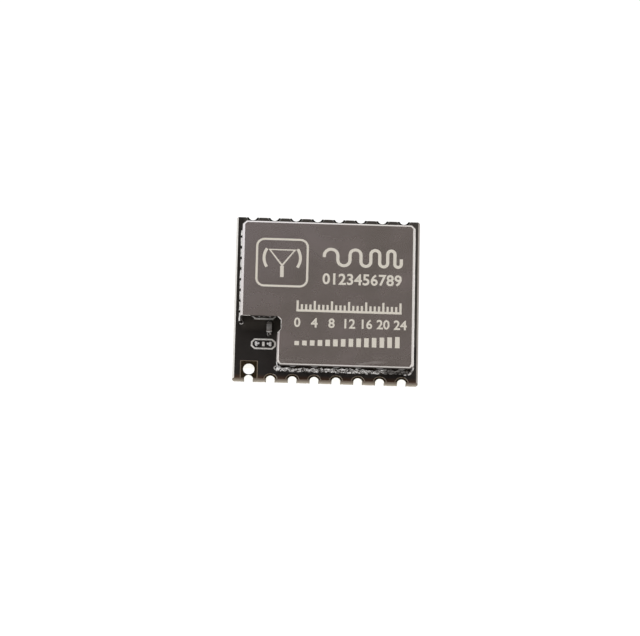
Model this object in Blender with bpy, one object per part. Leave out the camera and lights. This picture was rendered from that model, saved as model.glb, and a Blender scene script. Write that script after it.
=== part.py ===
"""Radio module: castellated board, folded shield can and the chip parts beneath it.

Metres, +Z up. The origin is the centre of the board's underside, +X runs along the rows of
contacts, and +Y points from the antenna side (front) to the back row.
"""

import math

import bmesh
import bpy
from mathutils import Matrix, Vector

# Board
BOARD_LENGTH = 0.0170
BOARD_WIDTH = 0.0160
BOARD_THICKNESS = 0.0010
SCORE_RUN = 0.000165
SCORE_DEPTH = 0.00030

# Half-hole contacts along the front and back edges
CONTACTS_PER_ROW = 8
CONTACT_PITCH = 0.0020
HALF_HOLE_RADIUS = 0.00042
HALF_HOLE_OUTSET = 0.00014
PLATING = 0.00004
LAND_THICKNESS = 0.00004
TOP_RING = 0.00016
UNDER_LAND_WIDTH = 0.00120
UNDER_LAND_REACH = 0.00125
MASK_RELIEF = 0.00008

# Antenna hole in the land of the first contact
ANTENNA_HOLE_RADIUS = 0.000525
ANTENNA_HOLE_INSET = 0.00087
ANTENNA_LAND_WIDTH = 0.00146
ANTENNA_LAND_REACH = 0.00165

# Folded shield can: how far its walls stand in from the edges of the board, and its size
CAN_FROM_LEFT = 0.000575
CAN_FROM_RIGHT = 0.000475
CAN_FROM_FRONT = 0.000745
CAN_FROM_BACK = 0.000985
CAN_HEIGHT = 0.00170
SHEET = 0.00020
BEND_RADIUS = 0.00025
CORNER_CUT = 0.00034
CORNER_SLIT = 0.00010
SLIT_BELOW_BEND = 0.00006

# Step cut out of the front-left corner of the can, and the sheet taken away behind its folded wall
STEP_WIDTH = 0.00342
STEP_DEPTH = 0.00475
STEP_TRIM = 0.00060
RELIEF_WIDTH = 0.00037
RELIEF_LENGTH = 0.00127
RELIEF_CORNER = 0.00032
RELIEF_JOG = 0.00044

# Solder seams along the foot of the can: width on the board, height up the wall
LEFT_SEAM_WIDTH = 0.00014
LEFT_SEAM_HEIGHT = 0.00030
FRONT_SEAM_WIDTH = 0.00010
FRONT_SEAM_HEIGHT = 0.00060
REAR_SEAM_WIDTH = 0.00006
REAR_SEAM_HEIGHT = 0.00030
SEAM_END = 0.00070

# Clearances: SEAT between faces that rest on each other, PART_GAP between placed parts
SEAT = 0.00001
PART_GAP = 0.00040

# Transceiver chip
CHIP_SIZE = 0.00600
CHIP_HEIGHT = 0.00085
CHIP_EDGE = 0.00005
LEADS_PER_SIDE = 7
LEAD_PITCH = 0.00065
LEAD_WIDTH = 0.00030
LEAD_HEIGHT = 0.00020
LEAD_PROUD = 0.00003

# Frequency crystal
CRYSTAL_LENGTH = 0.00320
CRYSTAL_WIDTH = 0.00250
CRYSTAL_BASE_HEIGHT = 0.00048
CRYSTAL_LID_HEIGHT = 0.00020
CRYSTAL_RIM = 0.00018
CRYSTAL_CORNER = 0.00022
CRYSTAL_LID_EDGE = 0.00006

# Antenna switch: body, and gull-wing legs along both sides
SWITCH_LENGTH = 0.00200
SWITCH_WIDTH = 0.00125
SWITCH_HEIGHT = 0.00090
SWITCH_LIFT = 0.00008
LEGS_PER_SIDE = 3
LEG_PITCH = 0.00065
LEG_WIDTH = 0.00022
LEG_THICKNESS = 0.00012
LEG_REACH = 0.00042
LEG_FOOT = 0.00022
LEG_SHOULDER = 0.00045
LEG_LEAN = 0.00012

# Two-terminal chip parts: length, width, height and terminal length of each size
SMALL_PART = (0.00100, 0.00050, 0.00050, 0.00022)
FLAT_PART = (0.00100, 0.00050, 0.00035, 0.00020)
LARGE_PART = (0.00160, 0.00080, 0.00080, 0.00032)
TERMINAL_PROUD = 0.000015
PART_EDGE = 0.00003

# Series part of the antenna feed, which shows in the step of the can
FEED_FROM_WALL = 0.00073
FEED_FROM_EDGE = 0.00053

# Parts in each chain between the transceiver and the switch
CHAIN_PARTS = 2

# Facets of round shapes
HOLE_SIDES = 28
DISC_SIDES = 32
CORNER_STEPS = 4
BEND_STEPS = 6

REACH_PAST = 0.0010

board_front = -BOARD_WIDTH / 2
board_back = BOARD_WIDTH / 2
board_top = BOARD_THICKNESS
part_floor = board_top + SEAT

can_left = CAN_FROM_LEFT - BOARD_LENGTH / 2
can_right = BOARD_LENGTH / 2 - CAN_FROM_RIGHT
can_front = board_front + CAN_FROM_FRONT
can_back = board_back - CAN_FROM_BACK
can_foot = board_top + SEAT
can_top = can_foot + CAN_HEIGHT
step_wall = can_left + STEP_WIDTH
step_edge = can_front + STEP_DEPTH

# Places of the parts: what room the can leaves is shared out between them and its walls
part_length, part_width = SMALL_PART[:2]
part_step = part_length + PART_GAP
chain_length = CHAIN_PARTS * part_step
chip_reach = CHIP_SIZE / 2 + LEAD_PROUD
switch_reach = SWITCH_WIDTH / 2 + LEG_REACH
row_length = SWITCH_LENGTH + PART_GAP + chain_length + 2 * chip_reach + PART_GAP + part_width
room_x = (can_right - can_left - 2 * SHEET - row_length) / 2
column_length = part_width + PART_GAP + 2 * chip_reach + PART_GAP + FLAT_PART[1] + CRYSTAL_WIDTH
room_y = (can_back - can_front - 2 * SHEET - column_length) / 3

chip_x = can_right - SHEET - room_x - part_width - PART_GAP - chip_reach
chip_y = can_back - SHEET - room_y - part_width - PART_GAP - chip_reach
crystal_x = can_right - SHEET - 3 * PART_GAP - part_width - CRYSTAL_LENGTH / 2
crystal_y = can_front + SHEET + room_y + CRYSTAL_WIDTH / 2
feed_x = step_wall - FEED_FROM_WALL
feed_y = step_edge - FEED_FROM_EDGE
filter_y = feed_y + 2 * part_step
switch_x = can_left + SHEET + room_x + SWITCH_LENGTH / 2
switch_y = filter_y + part_length / 2 + PART_GAP + switch_reach


def clear_scene():
    for obj in list(bpy.data.objects):
        bpy.data.objects.remove(obj, do_unlink=True)
    for collection in list(bpy.data.collections):
        bpy.data.collections.remove(collection)


def new_collection(name):
    collection = bpy.data.collections.new(name)
    bpy.context.scene.collection.children.link(collection)
    return collection


def material(name, colour, roughness, metallic=0.0):
    made = bpy.data.materials.new(name)
    made.use_nodes = True
    shader = made.node_tree.nodes["Principled BSDF"]
    shader.inputs["Base Color"].default_value = (*colour, 1.0)
    shader.inputs["Roughness"].default_value = roughness
    shader.inputs["Metallic"].default_value = metallic
    made.diffuse_color = (*colour, 1.0)
    return made


BLACK_MASK = (0.018, 0.017, 0.015), 0.45
TIN = (0.78, 0.77, 0.74), 0.28, 1.0
GOLD = (0.62, 0.47, 0.24), 0.30, 1.0
NICKEL_SILVER = (0.30, 0.28, 0.265), 0.24, 1.0
MOULDED_BLACK = (0.03, 0.03, 0.032), 0.5
CERAMIC = (0.42, 0.36, 0.30), 0.55
FERRITE = (0.10, 0.11, 0.12), 0.5
RESISTOR_BLACK = (0.04, 0.04, 0.045), 0.35


def add_object(name, bm, collection, finish=None):
    """Turns a bmesh into a named object, with its faces turned outwards."""
    bmesh.ops.recalc_face_normals(bm, faces=bm.faces)
    mesh = bpy.data.meshes.new(name)
    bm.to_mesh(mesh)
    bm.free()
    obj = bpy.data.objects.new(name, mesh)
    collection.objects.link(obj)
    if finish:
        mesh.materials.append(material(name, *finish))
    return obj


def add_cutter(name, bm):
    obj = add_object(name, bm, cutters)
    obj.hide_render = True
    obj.display_type = "WIRE"
    return obj


def prism(outline, low, high):
    """An outline in X and Y, raised from low to high."""
    bm = bmesh.new()
    floor = bm.faces.new([bm.verts.new((x, y, low)) for x, y in outline])
    raised = bmesh.ops.extrude_face_region(bm, geom=[floor])["geom"]
    tops = [item for item in raised if isinstance(item, bmesh.types.BMVert)]
    bmesh.ops.translate(bm, verts=tops, vec=(0, 0, high - low))
    bmesh.ops.recalc_face_normals(bm, faces=bm.faces)
    return bm


def drum(radius, low, high, x=0.0, y=0.0, sides=HOLE_SIDES):
    """An upright cylinder."""
    bm = bmesh.new()
    place = Matrix.Translation((x, y, (low + high) / 2))
    bmesh.ops.create_cone(
        bm, cap_ends=True, segments=sides, radius1=radius, radius2=radius, depth=high - low, matrix=place
    )
    return bm


def box(low, high):
    """A box between two opposite corners."""
    bm = bmesh.new()
    size = Vector(high) - Vector(low)
    middle = (Vector(high) + Vector(low)) / 2
    bmesh.ops.create_cube(bm, size=1.0, matrix=Matrix.Translation(middle) @ Matrix.Diagonal((*size, 1.0)))
    return bm


def rectangle(left, front, right, back):
    return [(left, front), (right, front), (right, back), (left, back)]


def rounded_rectangle(left, front, right, back, radius, steps=CORNER_STEPS):
    centres = (
        (right - radius, back - radius, 0.0),
        (left + radius, back - radius, 90.0),
        (left + radius, front + radius, 180.0),
        (right - radius, front + radius, 270.0),
    )
    points = []
    for x, y, start in centres:
        for step in range(steps + 1):
            angle = math.radians(start + 90.0 * step / steps)
            points.append((x + radius * math.cos(angle), y + radius * math.sin(angle)))
    return points


def chamfered(corners, cut):
    """The outline with each corner that turns outwards cut off, cut along both its sides."""
    points = []
    for index, corner in enumerate(corners):
        here = Vector(corner)
        before = (Vector(corners[index - 1]) - here).normalized()
        after = (Vector(corners[(index + 1) % len(corners)]) - here).normalized()
        if before.cross(after) < 0:
            points += [tuple(here + before * cut), tuple(here + after * cut)]
        else:
            points.append(tuple(here))
    return points


def combine(target, others, operation):
    """Joins or cuts the target with the other objects, which are then removed."""
    for other in others:
        modifier = target.modifiers.new(operation.lower(), "BOOLEAN")
        modifier.operation = operation
        modifier.solver = "EXACT"
        modifier.object = other
    bake(target)
    for other in others:
        bpy.data.objects.remove(other, do_unlink=True)
    return target


def bake(obj):
    """Applies the object's modifiers to its mesh."""
    bpy.context.view_layer.update()
    evaluated = obj.evaluated_get(bpy.context.evaluated_depsgraph_get())
    mesh = bpy.data.meshes.new_from_object(evaluated)
    obj.modifiers.clear()
    obj.data = mesh
    return obj


def cut_by(target, cutter_collection):
    modifier = target.modifiers.new("cuts", "BOOLEAN")
    modifier.operation = "DIFFERENCE"
    modifier.solver = "EXACT"
    modifier.operand_type = "COLLECTION"
    modifier.collection = cutter_collection


def smooth(obj, degrees=35.0):
    obj.data.shade_smooth()
    obj.data.set_sharp_from_angle(angle=math.radians(degrees))


# Contacts

def contact_places():
    """(number, x, True where it is in the front row), counted round the board from the antenna corner."""
    first = -CONTACT_PITCH * (CONTACTS_PER_ROW - 1) / 2
    columns = [first + CONTACT_PITCH * index for index in range(CONTACTS_PER_ROW)]
    front = [(index + 1, x, True) for index, x in enumerate(columns)]
    back = [(CONTACTS_PER_ROW + index + 1, x, False) for index, x in enumerate(reversed(columns))]
    return front + back


def half_hole(radius, low, high):
    """A drilled cylinder of a front contact, whose edge of the board is y = 0."""
    return drum(radius, low, high, y=-HALF_HOLE_OUTSET)


def under_land(grow=0.0):
    """Outline of a contact's land on the underside, with a round inner end."""
    half = UNDER_LAND_WIDTH / 2 + grow
    straight = UNDER_LAND_REACH - UNDER_LAND_WIDTH / 2
    points = [(-half, -REACH_PAST), (half, -REACH_PAST)]
    for step in range(2 * CORNER_STEPS + 1):
        angle = math.pi * step / (2 * CORNER_STEPS)
        points.append((half * math.cos(angle), straight + half * math.sin(angle)))
    return points


def antenna_land(grow=0.0):
    half = ANTENNA_LAND_WIDTH / 2 + grow
    return rectangle(-half, -REACH_PAST, half, ANTENNA_LAND_REACH + grow)


def top_land(radius_grow, low, high):
    return drum(HALF_HOLE_RADIUS + TOP_RING + radius_grow, low, high, y=-HALF_HOLE_OUTSET, sides=DISC_SIDES)


def contact_solid(name, with_antenna_hole):
    """One plated contact of the front row, with the edge of the board at y = 0."""
    land_low = board_top - LAND_THICKNESS
    overlap = LAND_THICKNESS / 2
    barrel = half_hole(HALF_HOLE_RADIUS + PLATING, overlap, board_top - overlap)
    if with_antenna_hole:
        shapes = [
            prism(antenna_land(), land_low, board_top),
            prism(antenna_land(), 0.0, LAND_THICKNESS),
            drum(ANTENNA_HOLE_RADIUS + PLATING, overlap, board_top - overlap, y=ANTENNA_HOLE_INSET),
        ]
    else:
        shapes = [
            top_land(0.0, land_low, board_top),
            prism(under_land(), 0.0, LAND_THICKNESS),
        ]
    solid = add_object(name, barrel, parts, GOLD)
    lands = [add_object(f"{name}_shape", shape, parts) for shape in shapes]
    combine(solid, lands, "UNION")
    low, high = -REACH_PAST, board_top + REACH_PAST
    bores = [half_hole(HALF_HOLE_RADIUS, low, high)]
    bores.append(box((-REACH_PAST * 2, -REACH_PAST * 2, low), (REACH_PAST * 2, 0.0, high)))
    if with_antenna_hole:
        bores.append(drum(ANTENNA_HOLE_RADIUS, low, high, y=ANTENNA_HOLE_INSET))
    combine(solid, [add_object(f"{name}_bore", bore, parts) for bore in bores], "DIFFERENCE")
    smooth(solid)
    return solid


def contact_transform(x, in_front):
    if in_front:
        return Matrix.Translation((x, board_front, 0.0))
    return Matrix.Translation((x, board_back, 0.0)) @ Matrix.Rotation(math.pi, 4, "Z")


def add_contacts():
    """The sixteen contacts. All but the first share one mesh."""
    plain = None
    for number, x, in_front in contact_places():
        name = f"pad_{number:02d}"
        if number == 1:
            pad = contact_solid(name, True)
        elif plain is None:
            pad = plain = contact_solid(name, False)
        else:
            pad = bpy.data.objects.new(name, plain.data)
            parts.objects.link(pad)
        pad.matrix_world = contact_transform(x, in_front)


# Board

def board_profile():
    """Section of the board across its length, with the slopes left by the scoring."""
    half = BOARD_LENGTH / 2
    right = [
        (half - SCORE_RUN, 0.0),
        (half, SCORE_DEPTH),
        (half, BOARD_THICKNESS - SCORE_DEPTH),
        (half - SCORE_RUN, BOARD_THICKNESS),
    ]
    return right + [(-x, z) for x, z in reversed(right)]


def add_board():
    bm = prism(board_profile(), board_front, board_back)
    stand = Matrix(((1, 0, 0), (0, 0, 1), (0, 1, 0))).to_4x4()
    bmesh.ops.transform(bm, matrix=stand, verts=bm.verts)
    board = add_object("board", bm, parts, BLACK_MASK)
    pockets = bpy.data.collections.new("board_cutters")
    cutters.children.link(pockets)
    for number, x, in_front in contact_places():
        for cutter in contact_pockets(number):
            cutter.matrix_world = contact_transform(x, in_front)
            cutters.objects.unlink(cutter)
            pockets.objects.link(cutter)
    cut_by(board, pockets)
    return board


def contact_pockets(number):
    """Cutters for one contact: its drill, and the openings of the solder mask over its lands."""
    low, high = -REACH_PAST, board_top + REACH_PAST
    land_low = board_top - LAND_THICKNESS - SEAT
    land_high = LAND_THICKNESS + SEAT
    shapes = [half_hole(HALF_HOLE_RADIUS + PLATING + SEAT, low, high)]
    if number == 1:
        shapes += [
            drum(ANTENNA_HOLE_RADIUS + PLATING + SEAT, low, high, y=ANTENNA_HOLE_INSET),
            prism(antenna_land(MASK_RELIEF), land_low, high),
            prism(antenna_land(MASK_RELIEF), low, land_high),
        ]
    else:
        shapes += [
            top_land(MASK_RELIEF, land_low, high),
            prism(under_land(MASK_RELIEF), low, land_high),
        ]
    return [add_cutter(f"pocket_{number:02d}", shape) for shape in shapes]


# Shield can

def can_outline(inset):
    """Outline of the can, moved inwards. The step's rear side stays short of its cut edge."""
    left, right = can_left + inset, can_right - inset
    front, back = can_front + inset, can_back - inset
    side = step_wall + inset
    rear = step_edge - STEP_TRIM + inset
    corners = [(side, front), (right, front), (right, back), (left, back), (left, rear), (side, rear)]
    return chamfered(corners, CORNER_CUT - inset * (2 - math.sqrt(2)))


def domed_prism(outline, low, high, radius):
    """A prism whose upper edges are rounded, as sheet metal is where it folds down."""
    bm = prism(outline, low, high)
    edges = [edge for edge in bm.edges if all(abs(v.co.z - high) < SEAT / 10 for v in edge.verts)]
    bmesh.ops.bevel(
        bm, geom=edges, offset=radius, offset_type="OFFSET", segments=BEND_STEPS, profile=0.5, affect="EDGES"
    )
    return bm


def step_cutter():
    """Takes away the rear side of the step, and the relief at the end of its folded wall."""
    relief = step_wall + RELIEF_WIDTH
    outside = can_left - REACH_PAST
    relief_end = step_edge - RELIEF_LENGTH
    outline = [
        (outside, step_edge),
        (relief - RELIEF_CORNER, step_edge),
        (relief, step_edge - RELIEF_CORNER),
        (relief, relief_end),
        (step_wall, relief_end - RELIEF_JOG),
        (outside, relief_end - RELIEF_JOG),
    ]
    return prism(outline, can_foot - REACH_PAST, can_top + REACH_PAST)


def slit_cutter(x, y, angle):
    """A narrow upright slit between two walls that meet at a corner."""
    low = can_foot - REACH_PAST
    high = can_top - BEND_RADIUS - SLIT_BELOW_BEND
    bm = box((-REACH_PAST / 2, -CORNER_SLIT / 2, low), (REACH_PAST / 2, CORNER_SLIT / 2, high))
    turn = Matrix.Translation((x, y, 0.0)) @ Matrix.Rotation(math.radians(angle), 4, "Z")
    bmesh.ops.transform(bm, matrix=turn, verts=bm.verts)
    return bm


def add_can():
    shell = domed_prism(can_outline(0.0), can_foot, can_top, BEND_RADIUS)
    can = add_object("shield_can", shell, parts, NICKEL_SILVER)
    hollow = domed_prism(can_outline(SHEET), can_foot - REACH_PAST, can_top - SHEET, BEND_RADIUS - SHEET)
    cuts = bpy.data.collections.new("can_cutters")
    cutters.children.link(cuts)
    shapes = [hollow, step_cutter()]
    reach = CORNER_CUT / 2
    for x, y, angle in (
        (can_right - reach, can_front + reach, -45.0),
        (can_right - reach, can_back - reach, 45.0),
        (can_left + reach, can_back - reach, 135.0),
        (step_wall + reach, can_front + reach, -135.0),
    ):
        shapes.append(slit_cutter(x, y, angle))
    for shape in shapes:
        cutter = add_cutter("can_cut", shape)
        cutters.objects.unlink(cutter)
        cuts.objects.link(cutter)
    cut_by(can, cuts)
    smooth(can)
    return can


# Solder seams

def seam_profile(width, height):
    """Section of a solder fillet, hollow between its toe on the board and its top on the wall."""
    points = [(0.0, 0.0)]
    for step in range(CORNER_STEPS + 1):
        angle = math.pi / 2 * step / CORNER_STEPS
        points.append((width * (1 - math.sin(angle)), height * (1 - math.cos(angle))))
    return points


def add_seam(name, start, end, width, height):
    """A fillet along the foot of a wall, whose outer face runs from start to end with the board on its right."""
    run = Vector(end) - Vector(start)
    outwards = Vector((run.y, -run.x, 0.0)).normalized()
    bm = bmesh.new()
    ring = []
    base = Vector(start) + outwards * SEAT
    for across, up in seam_profile(width, height):
        ring.append(bm.verts.new(base + outwards * across + Vector((0.0, 0.0, up))))
    first = bm.faces.new(ring)
    raised = bmesh.ops.extrude_face_region(bm, geom=[first])["geom"]
    moved = [item for item in raised if isinstance(item, bmesh.types.BMVert)]
    bmesh.ops.translate(bm, verts=moved, vec=run)
    return add_object(name, bm, parts, TIN)


def add_seams():
    floor = part_floor
    add_seam(
        "solder_front",
        (step_wall + SEAM_END, can_front, floor),
        (can_right - SEAM_END, can_front, floor),
        FRONT_SEAM_WIDTH,
        FRONT_SEAM_HEIGHT,
    )
    add_seam(
        "solder_right",
        (can_right, can_front + SEAM_END, floor),
        (can_right, can_back - SEAM_END, floor),
        REAR_SEAM_WIDTH,
        REAR_SEAM_HEIGHT,
    )
    add_seam(
        "solder_back",
        (can_right - SEAM_END, can_back, floor),
        (can_left + SEAM_END, can_back, floor),
        REAR_SEAM_WIDTH,
        REAR_SEAM_HEIGHT,
    )
    add_seam(
        "solder_left",
        (can_left, can_back - SEAM_END, floor),
        (can_left, step_edge, floor),
        LEFT_SEAM_WIDTH,
        LEFT_SEAM_HEIGHT,
    )


# Parts under the can

def bevelled_box(low, high, width, segments=1):
    bm = box(low, high)
    bmesh.ops.bevel(
        bm, geom=bm.edges, offset=width, offset_type="OFFSET", segments=segments, profile=0.5, affect="EDGES"
    )
    return bm


def add_chip():
    """The moulded body of the transceiver, with the ends of its leads along all four sides."""
    half = CHIP_SIZE / 2
    low = part_floor
    body = bevelled_box((-half, -half, low), (half, half, low + CHIP_HEIGHT), CHIP_EDGE)
    chip = add_object("transceiver_chip", body, parts, MOULDED_BLACK)
    leads = []
    inner = half - LEAD_HEIGHT
    outer = half + LEAD_PROUD
    foot = low + CHIP_EDGE
    first = -LEAD_PITCH * (LEADS_PER_SIDE - 1) / 2
    for side in range(4):
        turn = Matrix.Rotation(side * math.pi / 2, 4, "Z")
        for index in range(LEADS_PER_SIDE):
            along = first + index * LEAD_PITCH
            lead = box(
                (inner, along - LEAD_WIDTH / 2, foot),
                (outer, along + LEAD_WIDTH / 2, foot + LEAD_HEIGHT),
            )
            bmesh.ops.transform(lead, matrix=turn, verts=lead.verts)
            leads.append(add_object("lead", lead, parts))
    combine(chip, leads, "UNION")
    chip.location = (chip_x, chip_y, 0.0)
    return chip


def add_crystal():
    half_x, half_y = CRYSTAL_LENGTH / 2, CRYSTAL_WIDTH / 2
    low = part_floor
    seam = low + CRYSTAL_BASE_HEIGHT
    outline = rounded_rectangle(-half_x, -half_y, half_x, half_y, CRYSTAL_CORNER)
    base = add_object("crystal_base", prism(outline, low, seam), parts, CERAMIC)
    lid_x, lid_y = half_x - CRYSTAL_RIM, half_y - CRYSTAL_RIM
    outline = rounded_rectangle(-lid_x, -lid_y, lid_x, lid_y, CRYSTAL_CORNER)
    cover = domed_prism(outline, seam + SEAT, seam + SEAT + CRYSTAL_LID_HEIGHT, CRYSTAL_LID_EDGE)
    lid = add_object("crystal_lid", cover, parts, TIN)
    smooth(base)
    smooth(lid)
    for obj in (base, lid):
        obj.location = (crystal_x, crystal_y, 0.0)


def leg_profile():
    """Side view of a gull-wing leg, from inside the body down to its foot on the board."""
    inner = SWITCH_WIDTH / 2 - LEG_THICKNESS
    toe = switch_reach
    bend = toe - LEG_FOOT
    shoulder = part_floor + LEG_SHOULDER
    foot = part_floor
    upper = bend - LEG_LEAN
    return [
        (inner, shoulder),
        (upper, shoulder),
        (bend, foot + LEG_THICKNESS),
        (toe, foot + LEG_THICKNESS),
        (toe, foot),
        (bend - LEG_THICKNESS, foot),
        (upper - LEG_THICKNESS, shoulder - LEG_THICKNESS),
        (inner, shoulder - LEG_THICKNESS),
    ]


def add_switch():
    half_x, half_y = SWITCH_LENGTH / 2, SWITCH_WIDTH / 2
    low = part_floor + SWITCH_LIFT
    body = bevelled_box((-half_x, -half_y, low), (half_x, half_y, part_floor + SWITCH_HEIGHT), CHIP_EDGE)
    switch = add_object("rf_switch", body, parts, MOULDED_BLACK)
    legs = []
    stand = Matrix(((0, 0, 1), (1, 0, 0), (0, 1, 0))).to_4x4()
    for side in range(2):
        turn = Matrix.Rotation(side * math.pi, 4, "Z")
        for index in range(LEGS_PER_SIDE):
            leg = prism(leg_profile(), -LEG_WIDTH / 2, LEG_WIDTH / 2)
            along = (index - (LEGS_PER_SIDE - 1) / 2) * LEG_PITCH
            place = turn @ Matrix.Translation((along, 0.0, 0.0)) @ stand
            bmesh.ops.transform(leg, matrix=place, verts=leg.verts)
            legs.append(add_object("leg", leg, parts))
    combine(switch, legs, "UNION")
    switch.location = (switch_x, switch_y, 0.0)
    return switch


def chip_part_mesh(size):
    """A two-terminal part along X: end caps a little prouder than the body between them."""
    length, width, height, terminal = size
    half = length / 2
    thin = TERMINAL_PROUD
    stations = [
        (-half, 0.0),
        (-half + terminal, 0.0),
        (-half + terminal, thin),
        (half - terminal, thin),
        (half - terminal, 0.0),
        (half, 0.0),
    ]
    bm = bmesh.new()
    rings = []
    for x, sunk in stations:
        y = width / 2 - sunk
        low, high = part_floor + sunk, part_floor + height - sunk
        rings.append([bm.verts.new(point) for point in ((x, -y, low), (x, y, low), (x, y, high), (x, -y, high))])
    for ring, following in zip(rings, rings[1:]):
        for index in range(4):
            other = (index + 1) % 4
            bm.faces.new((ring[index], ring[other], following[other], following[index]))
    bm.faces.new(rings[0])
    bm.faces.new(rings[-1])
    ends = [
        edge
        for edge in bm.edges
        if all(abs(abs(v.co.x) - half) < SEAT / 10 for v in edge.verts)
    ]
    bmesh.ops.bevel(
        bm, geom=ends, offset=PART_EDGE, offset_type="OFFSET", segments=1, profile=0.5, affect="EDGES"
    )
    return bm


def add_chip_part(name, size, finish, x, y, turned=False):
    obj = add_object(name, chip_part_mesh(size), parts, finish)
    obj.location = (x, y, 0.0)
    if turned:
        obj.rotation_euler = (0.0, 0.0, math.pi / 2)
    return obj


def add_bypass_capacitors():
    """Three beside the chip's right side, and three behind it."""
    out = chip_reach + PART_GAP + part_width / 2
    for index in range(3):
        along = (index - 1) * (part_step + PART_GAP)
        add_chip_part(f"bypass_cap_{index + 1}", SMALL_PART, CERAMIC, chip_x + out, chip_y + along, True)
        add_chip_part(f"bypass_cap_{index + 4}", SMALL_PART, CERAMIC, chip_x + along, chip_y + out)


def add_matching_rows():
    """Transmit and receive chains from the chip to the antenna switch: coils in line, capacitors beside."""
    start = chip_x - chip_reach - part_step + part_length / 2
    for chain, side in (("tx", 1), ("rx", -1)):
        row = chip_y + side * CHIP_SIZE / 4
        beside = row + side * (part_width + PART_GAP)
        for index in range(CHAIN_PARTS):
            x = start - index * part_step
            add_chip_part(f"{chain}_inductor_{index + 1}", SMALL_PART, FERRITE, x, row)
            add_chip_part(f"{chain}_match_cap_{index + 1}", SMALL_PART, CERAMIC, x, beside)


def add_antenna_feed():
    """The filter parts in front of the switch, and the series part that shows in the step."""
    beside = switch_x - part_width - PART_GAP
    add_chip_part("antenna_series_cap", FLAT_PART, CERAMIC, feed_x, feed_y, True)
    add_chip_part("antenna_filter_inductor", SMALL_PART, FERRITE, switch_x, filter_y, True)
    add_chip_part("antenna_filter_cap", SMALL_PART, CERAMIC, beside, filter_y, True)


def add_crystal_capacitors():
    out = CRYSTAL_LENGTH / 2 + PART_GAP + part_width / 2
    for number, side in ((1, -1), (2, 1)):
        x = crystal_x + side * out
        add_chip_part(f"crystal_load_cap_{number}", SMALL_PART, CERAMIC, x, crystal_y, True)


def add_resistors():
    """Reset pull-up and the two control-line resistors, in a row in front of the chip."""
    row = chip_y - chip_reach - PART_GAP - FLAT_PART[1] / 2
    step = FLAT_PART[0] + PART_GAP
    for index, name in enumerate(("reset_pull_up", "control_resistor_1", "control_resistor_2")):
        add_chip_part(name, FLAT_PART, RESISTOR_BLACK, chip_x + (index - 1) * step, row)


def add_supply_parts():
    """Choke and bulk capacitor of the supply, beside the crystal."""
    length, width = LARGE_PART[:2]
    x = crystal_x - CRYSTAL_LENGTH / 2 - 3 * PART_GAP - part_width - length / 2
    apart = (width + PART_GAP) / 2
    add_chip_part("supply_choke", LARGE_PART, FERRITE, x, crystal_y + apart)
    add_chip_part("supply_bulk_cap", LARGE_PART, CERAMIC, x, crystal_y - apart)


clear_scene()
parts = new_collection("radio_module")
cutters = new_collection("cutters")
cutters.hide_render = True
add_board()
add_contacts()
add_can()
add_seams()
add_chip()
add_crystal()
add_switch()
add_bypass_capacitors()
add_matching_rows()
add_antenna_feed()
add_crystal_capacitors()
add_resistors()
add_supply_parts()
bpy.context.view_layer.update()
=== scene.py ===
"""Looks of a surface-mount radio module, added round its CAD frame.

Laid out as a Blender add-on: settings, one operator for each group of pieces, and a sidebar panel.
Metres, +Z up. The board lies on the floor with its antenna corner at the front left.
"""

import math
from typing import NamedTuple

import bmesh
import bpy
from bpy.props import FloatProperty, FloatVectorProperty, IntProperty, PointerProperty
from mathutils import Matrix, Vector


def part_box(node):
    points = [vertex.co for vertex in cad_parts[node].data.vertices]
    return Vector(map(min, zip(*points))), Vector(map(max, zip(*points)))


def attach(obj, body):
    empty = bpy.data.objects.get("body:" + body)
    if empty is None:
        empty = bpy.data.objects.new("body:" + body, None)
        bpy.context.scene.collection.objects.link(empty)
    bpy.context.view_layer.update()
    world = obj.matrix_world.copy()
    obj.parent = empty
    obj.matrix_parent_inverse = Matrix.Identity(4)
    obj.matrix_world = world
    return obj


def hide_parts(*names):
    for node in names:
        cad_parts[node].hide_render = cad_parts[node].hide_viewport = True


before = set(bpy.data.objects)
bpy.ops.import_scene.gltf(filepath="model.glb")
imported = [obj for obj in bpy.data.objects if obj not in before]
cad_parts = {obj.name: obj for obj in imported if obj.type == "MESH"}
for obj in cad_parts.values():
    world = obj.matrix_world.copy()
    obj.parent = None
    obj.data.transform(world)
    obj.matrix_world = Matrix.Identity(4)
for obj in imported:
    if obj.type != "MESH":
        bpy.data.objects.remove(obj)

bl_info = {
    "name": "Radio Module Looks",
    "version": (1, 0, 0),
    "blender": (4, 5, 0),
    "location": "3D View > Sidebar > Radio Module",
    "description": "Dresses the radio module's CAD frame with solder, print, marks and materials",
    "category": "Object",
}

MM = 0.001
ROOT = "root"
PADS = [f"pad_{number:02d}" for number in range(1, 17)]

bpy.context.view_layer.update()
board_low, board_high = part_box("board")
can_low, can_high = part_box("shield_can")
BOARD_TOP = board_high.z
BOARD_MIDDLE = (board_low.z + board_high.z) / 2
CAN_TOP = can_high.z

# Where the step of the can runs: its folded wall, its cut edge, and the relief between them
STEP_WALL = can_low.x + 3.42 * MM
STEP_EDGE = can_low.y + 4.75 * MM
RELIEF_X = STEP_WALL + 0.37 * MM
RELIEF_END = STEP_EDGE - 1.27 * MM
JOG_END = RELIEF_END - 0.44 * MM

# How far the middle of a mark or a printed line stands above its surface, as a share of its thickness
LIFT_SHARE = 0.25
# Lifts one etched line clear of another that it crosses
OVERLAP_LIFT = 0.0006 * MM
# Keeps the floor clear of the underside of the board
FLOOR_DROP = 0.02 * MM
# The upright part of a normal is more than this on a level face
LEVEL = 0.97

# The camera, fitted to the corners and half-holes of the board in the photograph
CAMERA_LENS = 275.25
CAMERA_PLACE = (-0.0089356, -0.1730291, 0.4170959)
CAMERA_DEGREES = (22.3261, -1.6406, 1.1955)


def on_can(across, back):
    """A place on the can, in millimetres from its front-left corner."""
    return can_low.x + across * MM, can_low.y + back * MM


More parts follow.
